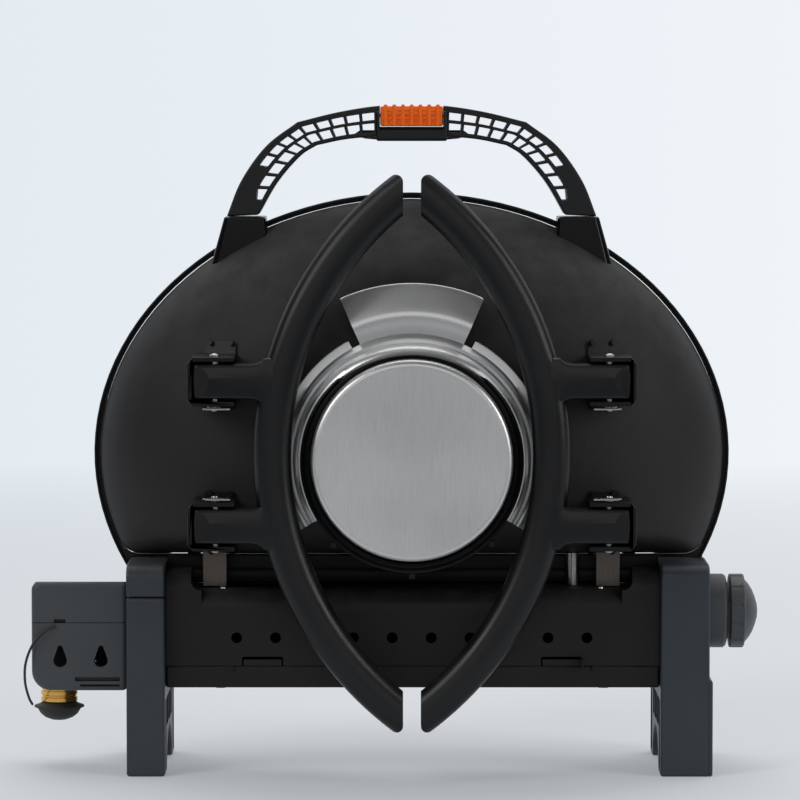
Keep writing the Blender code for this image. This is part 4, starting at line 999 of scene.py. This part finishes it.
def foot_head(bottom):
    """The upper part of a foot, from its side: a hinge boss, a slot for the rims and a front block."""
    points = [(46, bottom)]
    for i in range(19):
        angle = math.radians(-20 + 200 * i / 18)
        points.append((HINGE_Y + 18 * math.cos(angle), HINGE_Z + 18 * math.sin(angle)))
    points += [(HINGE_Y - 18, 141), (-9, 141), (-9, 160), (-12, FOOT_TOP)]
    for i in range(9):
        angle = math.radians(90 + 78 * i / 8)
        points.append((-61 + 12 * math.cos(angle), FOOT_TOP - 12 + 12 * math.sin(angle)))
    return points


def foot_base():
    """The lower part of a foot, from its side: two soles under an arch, with a flared heel."""
    points = [(FOOT_FRONT, 0), (FOOT_FRONT + 27, 0)]
    for i in range(25):
        angle = math.pi * (1 - i / 24)
        points.append((-1.5 + 38 * math.cos(angle), 6 + 24 * math.sin(angle)))
    return points + [(FOOT_BACK - 27, 0), (FOOT_BACK, 0), (FOOT_BACK, 66), (46, 104)]


def foot_piece(name, outline, low, high, inward, pockets):
    """An outline pushed across the foot, with soft edges and pockets on its inner side."""
    piece = plate(name, [at(low, y, z) for y, z in outline], (high - low, 0, 0), 2.4, 4)
    inner = high if inward > 0 else low
    for y_low, z_low, y_high, z_high in pockets:
        deep = sorted((inner - inward * 9, inner + inward * 5))
        cut_or_join(piece, rounded_block("pocket", (deep[0], y_low, z_low), (deep[1], y_high, z_high), 1.2))
    return piece


blue_grey = coated("blue-grey moulded plastic", (0.0165, 0.0215, 0.027), (0.028, 0.036, 0.045), 0.42, 1300, 0.02,
                   dust=0.14, uneven=0.14)
LOW_POCKETS = ((-66, 4, -52, 58), (-49, 36, -24, 58), (-21, 36, 6, 58), (9, 36, 33, 58), (46, 4, 63, 58))
left_foot = foot_piece("left_foot_moulding", foot_base() + [(46, FOOT_SEAM - 0.4), (FOOT_FRONT, FOOT_SEAM - 0.4)],
                       *FOOT_LEFT, 1, LOW_POCKETS)
cut_or_join(left_foot, cylinder("pipe_way", at(-230, GAS_Y, PIPE_Z), at(-180, GAS_Y, PIPE_Z), 8, 40))
left_cap = foot_piece("left_foot_head", foot_head(FOOT_SEAM + 0.4) + [(FOOT_FRONT, FOOT_SEAM + 0.4)],
                      *FOOT_LEFT, 1, ())
cut_or_join(left_cap, cylinder("pin_pocket", at(-200, HINGE_Y, HINGE_Z), at(-180, HINGE_Y, HINGE_Z), 4.3, 32))
right_foot = foot_piece("right_foot_moulding", foot_base() + foot_head(120), *FOOT_RIGHT, -1, LOW_POCKETS)
flare_outline = foot_base()[:-1] + [(60, 74), (FOOT_FRONT, 74)]
cut_or_join(right_foot, foot_piece("heel_flare", flare_outline, 226.0, 230.0, 1, ()), "UNION")
cut_or_join(right_foot, cylinder("pin_pocket", at(180, HINGE_Y, HINGE_Z), at(202, HINGE_Y, HINGE_Z), 4.3, 32))
cut_or_join(right_foot, cylinder("stem_way", at(180, GAS_Y, KNOB_Z), at(250, GAS_Y, KNOB_Z), 6, 40))
fit(left_foot, "frame", ["left_foot"], blue_grey)
fit(left_cap, "frame", ["left_foot_cap"], blue_grey)
# Painted light: the right foot gets a bluer copy of the blue-grey foot plastic, for the light that falls on it from
# the right.
right_foot_painted_light_blue = coated("slate blue moulded plastic", (0.0125, 0.0195, 0.0275), (0.0215, 0.0325, 0.0445), 0.42,
                    1300, 0.02, dust=0.1, uneven=0.14)
fit(right_foot, "frame", ["right_foot"], right_foot_painted_light_blue)
for label, sign in (("left", -1), ("right", 1)):
    hinge_pin = cylinder(f"{label}_hinge_pin_turned", at(sign * 165, HINGE_Y, HINGE_Z),
                         at(sign * (199 if sign < 0 else 201), HINGE_Y, HINGE_Z), 4.0, 32)
    fit(rounded(hinge_pin, 0.6, 2), "frame", [f"{label}_hinge_pin"], bright_zinc)

# ---------------------------------------------------------------- gas box, inlet and dust cap
# A hollow dark grey moulding with a lift-off cover, two drop-shaped recesses and louvres, a turned brass
# inlet below it and a rubber dust cap.
BOX_LEFT, BOX_RIGHT, BOX_FRONT, BOX_BACK = -292.5, -218.4, -45.0, 35.0
BOX_BOTTOM, BOX_TOP, BOX_SEAM, INLET_X = 62.5, 147.0, 115.5, -274.4


def gas_box_part(name, low, high, wall):
    """A slice of the box between two heights: a rounded outline, hollow, open at the cut side."""
    outline = [(BOX_RIGHT, BOX_BOTTOM), (BOX_RIGHT, BOX_TOP)]
    for middle_x, middle_z, radius, start in ((BOX_LEFT + 7, BOX_TOP - 7, 7, 90),
                                              (BOX_LEFT + 15, BOX_BOTTOM + 15, 15, 180)):
        for i in range(9):
            angle = math.radians(start + 90 * i / 8)
            outline.append((middle_x + radius * math.cos(angle), middle_z + radius * math.sin(angle)))
    piece = plate(name, [at(x, BOX_FRONT, z) for x, z in outline], (0, BOX_BACK - BOX_FRONT, 0), 4.5, 5)
    slope = plate("slope", [at(BOX_LEFT - 5, y, z) for y, z in
                            ((BOX_FRONT - 5, BOX_TOP + 0.6), (BOX_BACK + 5, BOX_TOP - 9), (BOX_BACK + 5, BOX_TOP + 9),
                             (BOX_FRONT - 5, BOX_TOP + 9))], (BOX_RIGHT - BOX_LEFT + 10, 0, 0))
    cut_or_join(piece, slope)
    keep = rounded_block("keep", (BOX_LEFT - 9, BOX_FRONT - 9, low), (BOX_RIGHT + 9, BOX_BACK + 9, high), 0)
    cut_or_join(piece, keep, "INTERSECT")
    cut_or_join(piece, rounded_block("hollow", (BOX_LEFT + wall, BOX_FRONT + 8, max(low, BOX_BOTTOM + wall) - 0.01
                                                if low <= BOX_BOTTOM else low - 5),
                                     (BOX_RIGHT - wall, BOX_BACK - wall, high + 5 if low <= BOX_BOTTOM
                                      else BOX_TOP - 12), 0))
    cut_or_join(piece, cylinder("pipe_way", at(-230, GAS_Y, PIPE_Z), at(-205, GAS_Y, PIPE_Z), 8, 40))
    return rounded(piece, 0.5, 2, 50)


dark_grey = coated("dark grey moulded plastic", (0.035, 0.041, 0.045), (0.058, 0.067, 0.073), 0.46, 1300, 0.022,
                   dust=0.16, uneven=0.14)
box = gas_box_part("gas_box_moulding", BOX_BOTTOM - 5, BOX_SEAM - 0.5, 3.0)
cut_or_join(box, cylinder("boss", at(INLET_X + 4, 0, 61.2), at(INLET_X + 4, 0, 72), 19.0, 64), "UNION")
cut_or_join(box, cylinder("inlet_hole", at(INLET_X, 0, 50), at(INLET_X, 0, 80), 14.5, 64))
for x in (-270.4, -239.0):
    drop = []
    for i in range(25):
        angle = math.radians(-200 + 220 * i / 24)
        drop.append((x + 5.2 * math.cos(angle), 86.0 + 5.2 * math.sin(angle)))
    drop += [(x + 2.2, 95.4), (x + 1.2, 97.6), (x - 1.2, 97.6), (x - 2.2, 95.4)]
    cut_or_join(box, plate("drop", [at(px, BOX_FRONT - 5, z) for px, z in drop], (0, 16, 0)))
for low_x, low_z, high_z in ((-259.0, 70.0, 73.2), (-255.0, 65.9, 67.7)):
    cut_or_join(box, rounded_block("louvre", (low_x, BOX_FRONT - 4, low_z), (-224.5, BOX_FRONT + 7, high_z), 0.4))
for i in range(2):
    cut_or_join(box, rounded_block("vent", (-258 + i * 7, BOX_BACK - 5, 76), (-255 + i * 7, BOX_BACK + 4, 104), 0.8))
fit(rounded(box, 0.35, 2, 60), "frame", ["regulator_box"], dark_grey)
cover = gas_box_part("gas_box_cover", BOX_SEAM, BOX_TOP + 5, 3.0)
cut_or_join(cover, rounded_block("tether_slot", (-275.0, BOX_FRONT - 4, BOX_SEAM - 5),
                                 (-266.0, BOX_FRONT + 6, BOX_SEAM + 2.6), 0.3))
fit(cover, "frame", ["regulator_box_cover"], dark_grey)

brass = brushed("turned brass", (0.88, 0.56, 0.17), (0.62, 0.34, 0.07), 0.24, rise=0.006)
inlet = spun("gas_inlet_turned", ((9, 49), (13.4, 49), (14.2, 49.8), (14.2, 52.6), (13.3, 53.2), (13.3, 54.2),
                                  (14.2, 54.8), (14.2, 57.6), (13.3, 58.2), (13.3, 59.2), (14.2, 59.8),
                                  (14.2, 66), (9, 66), (9, 49)),
             at(INLET_X, 0, 0), axis=(0, 0, 1), steps=64)
fit(inlet, "frame", ["gas_inlet"], brass)
cap = spun("dust_cap_moulded", ((0, 34.3), (6, 34.9), (11, 36.8), (14.6, 39.8), (16.6, 43.2), (17.2, 44.4),
                                (19.2, 44.7), (19.5, 45.3), (19.2, 45.9), (16.4, 46.9), (14.2, 48.0), (13.4, 48.6), (0, 48.6)),
           at(INLET_X, 0, 0), axis=(0, 0, 1), steps=64)
fit(cap, "cap", ["dust_cap"], rubber)

# ---------------------------------------------------------------- control knob
# A round collar on the right foot, a steel stem and a knob with shallow grip grooves and a domed end.
GRIP_GROOVES, GROOVE_RADIUS, GROOVE_RING = 12, 2.8, 30.6
collar = spun("knob_collar_moulded", ((7, 0.4), (27.4, 0.4), (28.6, 1.6), (28.6, 13.6), (27.2, 15.6), (25.4, 16.2),
                                      (23.8, 15.4), (23.0, 12.4), (7, 12.4), (7, 0.4)),
              at(FOOT_RIGHT[1], GAS_Y, KNOB_Z), axis=(1, 0, 0), across=(0, 0, 1), steps=72)
fit(collar, "frame", ["knob_collar"], dark_grey)
stem = cylinder("valve_stem_turned", at(183, GAS_Y, KNOB_Z), at(253, GAS_Y, KNOB_Z), 4, 32)
fit(rounded(stem, 0.5, 2), "stem", ["valve_stem"], bright_zinc)
knob = spun("control_knob_domed", ((4.2, -10.6), (21.8, -10.6), (22.0, -10.4), (22.0, -7.0), (28.0, -7.0),
                                   (28.6, -6.4), (28.6, 3.0), (28.3, 3.8), (27.4, 4.3), (26.6, 4.2), (26.2, 3.6), (25.6, 3.7),
                                   (24.4, 5.0), (21, 8.0), (16.5, 10.8), (11, 13.0), (5.5, 14.6), (0, 15.2), (0, 0.4),
                                   (4.2, 0.4), (4.2, -10.6)),
            at(253.1, GAS_Y, KNOB_Z), axis=(1, 0, 0), across=(0, 0, 1), steps=96)
for i in range(GRIP_GROOVES):
    angle = math.tau * (i + 0.5) / GRIP_GROOVES
    y, z = GAS_Y + GROOVE_RING * math.cos(angle), KNOB_Z + GROOVE_RING * math.sin(angle)
    groove = cylinder("grip_groove", at(246.9, y, z), at(255.6, y, z), GROOVE_RADIUS, 24)
    cut_or_join(knob, groove, solver="MANIFOLD")
fit(knob, "knob", ["control_knob"], dark_grey)


# ---------------------------------------------------------------- handle, sockets and latch
# Two satin black hoops with rows of windows, one on the bowl and one on the lid, set in gloss black
# sockets. An orange catch with ridges swings on a pin in the front one.
OUTER_EDGE = (((-142.4, 427), (-131.0, 454.8), (-112, 481), (-88, 499.4)),
              ((-88, 499.4), (-56, 507.2), (-24.4, 512), (0, 512)))
INNER_EDGE = (((-118.0, 428), (-103.4, 453), (-86, 473), (-73, 481.5)),
              ((-73, 481.5), (-50, 486.2), (-24.4, 488.2), (0, 488.2)))
EDGE_STEPS = 91
outer_edge, inner_edge = [], []
for edge, pieces in ((outer_edge, OUTER_EDGE), (inner_edge, INNER_EDGE)):
    for points in pieces:
        edge += curve_through([Vector((x, 0, z)) for x, z in points], 46)[1 if edge else 0:]


def between_edges(place, share, side):
    """A point of the hoop at a step along it and a share of its width, on the left (-1) or right (1)."""
    index = min(int(place), EDGE_STEPS - 2)
    outer = outer_edge[index].lerp(outer_edge[index + 1], place - index)
    inner = inner_edge[index].lerp(inner_edge[index + 1], place - index)
    point = outer.lerp(inner, share)
    return (-side * point.x, point.z)


def handle_hoop(name, front, back, grip_low):
    """One half of the handle between two depths, with its windows cut through."""
    outline = [between_edges(i, 0, -1) for i in range(EDGE_STEPS)]
    outline += [between_edges(i, 0, 1) for i in range(EDGE_STEPS - 2, -1, -1)]
    outline += [between_edges(i, 1, 1) for i in range(EDGE_STEPS - 1)]
    dip = [between_edges(i, 1, -1) for i in range(EDGE_STEPS - 1, -1, -1)]
    outline += [(x, z - grip_low * max(0.0, 1 - abs(x) / 66) ** 0.5) for x, z in dip] if grip_low else dip
    hoop = plate(name, [at(x, front, z) for x, z in outline], (0, back - front, 0), 3.4, 4)
    windows = start_piece("windows")
    for side in (-1, 1):
        for first, count, pitch, wide, low, high in ((6.6, 11, 6.1, 4.9, 0.56, 0.85),
                                                     (21.5, 9, 5.8, 4.7, 0.21, 0.45)):
            for number in range(count):
                place = first + number * pitch
                span = [place + wide * step / 4 for step in range(5)]
                low_side = high - 0.16 if number == 0 and count == 11 else low
                shape = [between_edges(p, low_side + (low - low_side) * step / 4, side)
                         for step, p in enumerate(span)]
                shape += [between_edges(p, high, side) for p in reversed(span)]
                draw([at(x, front - 5, z) for x, z in shape], fill=True)
    bpy.ops.mesh.select_all(action="SELECT")
    bpy.ops.mesh.extrude_region_move(TRANSFORM_OT_translate={"value": (0, (back - front + 10) * MM, 0)})
    weld()
    deselect()
    cut_or_join(hoop, windows)
    return hoop


front_hoop = handle_hoop("front_handle_hoop", -20.0, -7.0, 0.0)
cut_or_join(front_hoop, rounded_block("catch_room", (-24.6, -40, 493.2), (24.6, 0, 520), 0.6, 2))
cradle = rounded_block("cradle", (-27.5, -22.4, 484.8), (27.5, -12, 508), 2.0, 4)
cut_or_join(cradle, rounded_block("mouth", (-24.6, -40, 493.2), (24.6, 0, 520), 0.6, 2))
cut_or_join(front_hoop, cradle, "UNION")
rounded(front_hoop, 0.5, 2, 50)
rear_hoop = handle_hoop("rear_handle_hoop", 7.0, 20.0, 0.0)
cut_or_join(rear_hoop, rounded_block("catch_room", (-24.6, 0, 495.6), (24.6, 30, 520), 0.6, 2))
grip = plate("grip", [at(x, 8, z) for x, z in ((-46, 489), (-36, 486.4), (-20, 485.0), (0, 484.6), (20, 485.0),
                                               (36, 486.4),
                                                (46, 489), (40, 493), (-40, 493))], (0, 11, 0), 1.6, 3)
cut_or_join(rear_hoop, grip, "UNION")
rounded(rear_hoop, 0.5, 2, 50)
fit(front_hoop, "frame", ["front_handle_half"], black_nylon)
fit(rear_hoop, "lid", ["rear_handle_half"], black_nylon)

orange = coated("orange moulded plastic", (1.0, 0.14, 0.0), (1.0, 0.2, 0.0), 0.36, 1600, 0.01, dust=0.0,
                uneven=0.1, specular=0.35)
latch = rounded_block("catch_moulding", (-24.2, -21.6, 496.2), (24.2, 20, 511.6), 1.6, 4)
for low, high in (((-20.4, -30, 498.6), (20.4, -20.6, 501.6)), ((-20.4, -30, 503.2), (20.4, -20.6, 505.2))):
    cut_or_join(latch, rounded_block("groove", low, high, 0.4))
for i in range(7):
    x = (i - 3) * 6.7
    cut_or_join(latch, rounded_block("ridge", (x - 1.5, -23.0, 496.3), (x + 1.5, -16, 513.0), 1.1, 3), "UNION")
bow = [(x, 508.6 - 0.0042 * x * x) for x in range(-18, 19, 3)]
cut_or_join(latch, plate("bow", [at(x, -22.6, z) for x, z in bow] + [at(x, -22.6, z + 1.5) for x, z in reversed(bow)],
                         (0, 3, 0), 0.4, 2), "UNION")
cut_or_join(latch, cylinder("pin_bore", at(-30, -13.5, 504.5), at(30, -13.5, 504.5), 1.8, 24))
fit(latch, "latch", ["handle_latch"], orange)
latch_pin = cylinder("catch_pin", at(-26, -13.5, 504.5), at(26, -13.5, 504.5), 1.5, 24)
fit(rounded(latch_pin, 0.3, 2), "frame", ["latch_pin"], bright_zinc)

gloss_black = coated("gloss black moulded plastic", (0.002, 0.002, 0.0024), (0.004, 0.004, 0.005), 0.14, 1800, 0.004,
                     dust=0.02, specular=0.22)
lid_seat = solid_dome("lid_seat", 1, LID_DEPTH, -1.2)
SOCKET_FACE = ((-144.2, 426.6), (-112.5, 426.6), (-110.7, 404.5), (-155.8, 385.0))
for name, depths, seat, body in (("handle_socket", (-4.6, -24.0), bowl_seat, "frame"),
                                 ("lid_socket", (4.6, 24.0), lid_seat, "lid")):
    socket = start_piece(f"left_{name}_wedge")
    draw([at(x, depths[0], z) for x, z in SOCKET_FACE], fill=True)
    reach = (depths[1] - depths[0]) * MM
    bpy.ops.mesh.extrude_region_move(TRANSFORM_OT_translate={"value": (0, reach * 0.8, 0)})
    bpy.ops.mesh.extrude_region_move(TRANSFORM_OT_translate={"value": (0, reach * 0.2, 0)})
    bpy.ops.transform.resize(value=(0.86, 1, 0.95), center_override=at(-122, 0, 420))
    weld()
    deselect()
    rounded(socket, 1.2, 4, 15)
    cut_or_join(socket, twin_of(seat, "seat"))
    other = mirrored(socket, f"right_{name}_wedge")
    fit(socket, body, [f"left_{name}"], gloss_black)
    fit(other, body, [f"right_{name}"], gloss_black)

# ---------------------------------------------------------------- lid shell
# The deeper half, drawn from the same steel and painted like the bowl. It swings on two welded arms.
fit(drawn_shell("lid_shell_drawn", 1, LID_DEPTH), "lid", ["lid_shell"], charcoal, angle=40)


# ---------------------------------------------------------------- cooking and gas parts inside
# Cast-iron grates, a stainless burner ring with its plate and igniter, and the gas line: hidden while
# the lid is shut.
def refined(node, width=0.6, segments=2, angle=35):
    """A copy of a plain piece with its split faces joined again and its edges rounded."""
    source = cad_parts[node]
    piece = bpy.data.objects.new(node + "_piece", source.data.copy())
    bpy.context.scene.collection.objects.link(piece)
    piece.matrix_world = source.matrix_world
    open_piece(piece)
    bpy.ops.mesh.select_all(action="SELECT")
    bpy.ops.mesh.remove_doubles(threshold=0.02 * MM)
    bpy.ops.mesh.dissolve_limited(angle_limit=math.radians(0.5))
    bpy.ops.mesh.normals_make_consistent(inside=False)
    deselect()
    return rounded(piece, width, segments, angle) if width else piece


cast_iron = coated("seasoned cast iron", (0.014, 0.013, 0.013), (0.032, 0.029, 0.027), 0.55, 700, 0.09, dust=0.05,
                   uneven=0.25)
for node, body, material, width in (
        ("cooking_grate_left", "frame", cast_iron, 0.7), ("cooking_grate_right", "frame", cast_iron, 0.7),
        ("burner_ring", "frame", stainless, 0.4), ("flame_tamer", "frame", stainless, 0.3),
        ("igniter_electrode", "frame", gloss_black, 0.3), ("regulator_body", "frame", bright_zinc, 0.8),
        ("gas_pipe", "frame", brass, 0.0), ("gas_valve", "frame", brass, 0.6),
        ("left_lid_hinge_arm", "lid", black_enamel, 0.8), ("right_lid_hinge_arm", "lid", black_enamel, 0.8)):
    fit(refined(node, width), body, [node], material)
for form_tool in (bowl_seat, bowl_skin, nub_skin, lid_seat):
    bpy.data.objects.remove(form_tool, do_unlink=True)
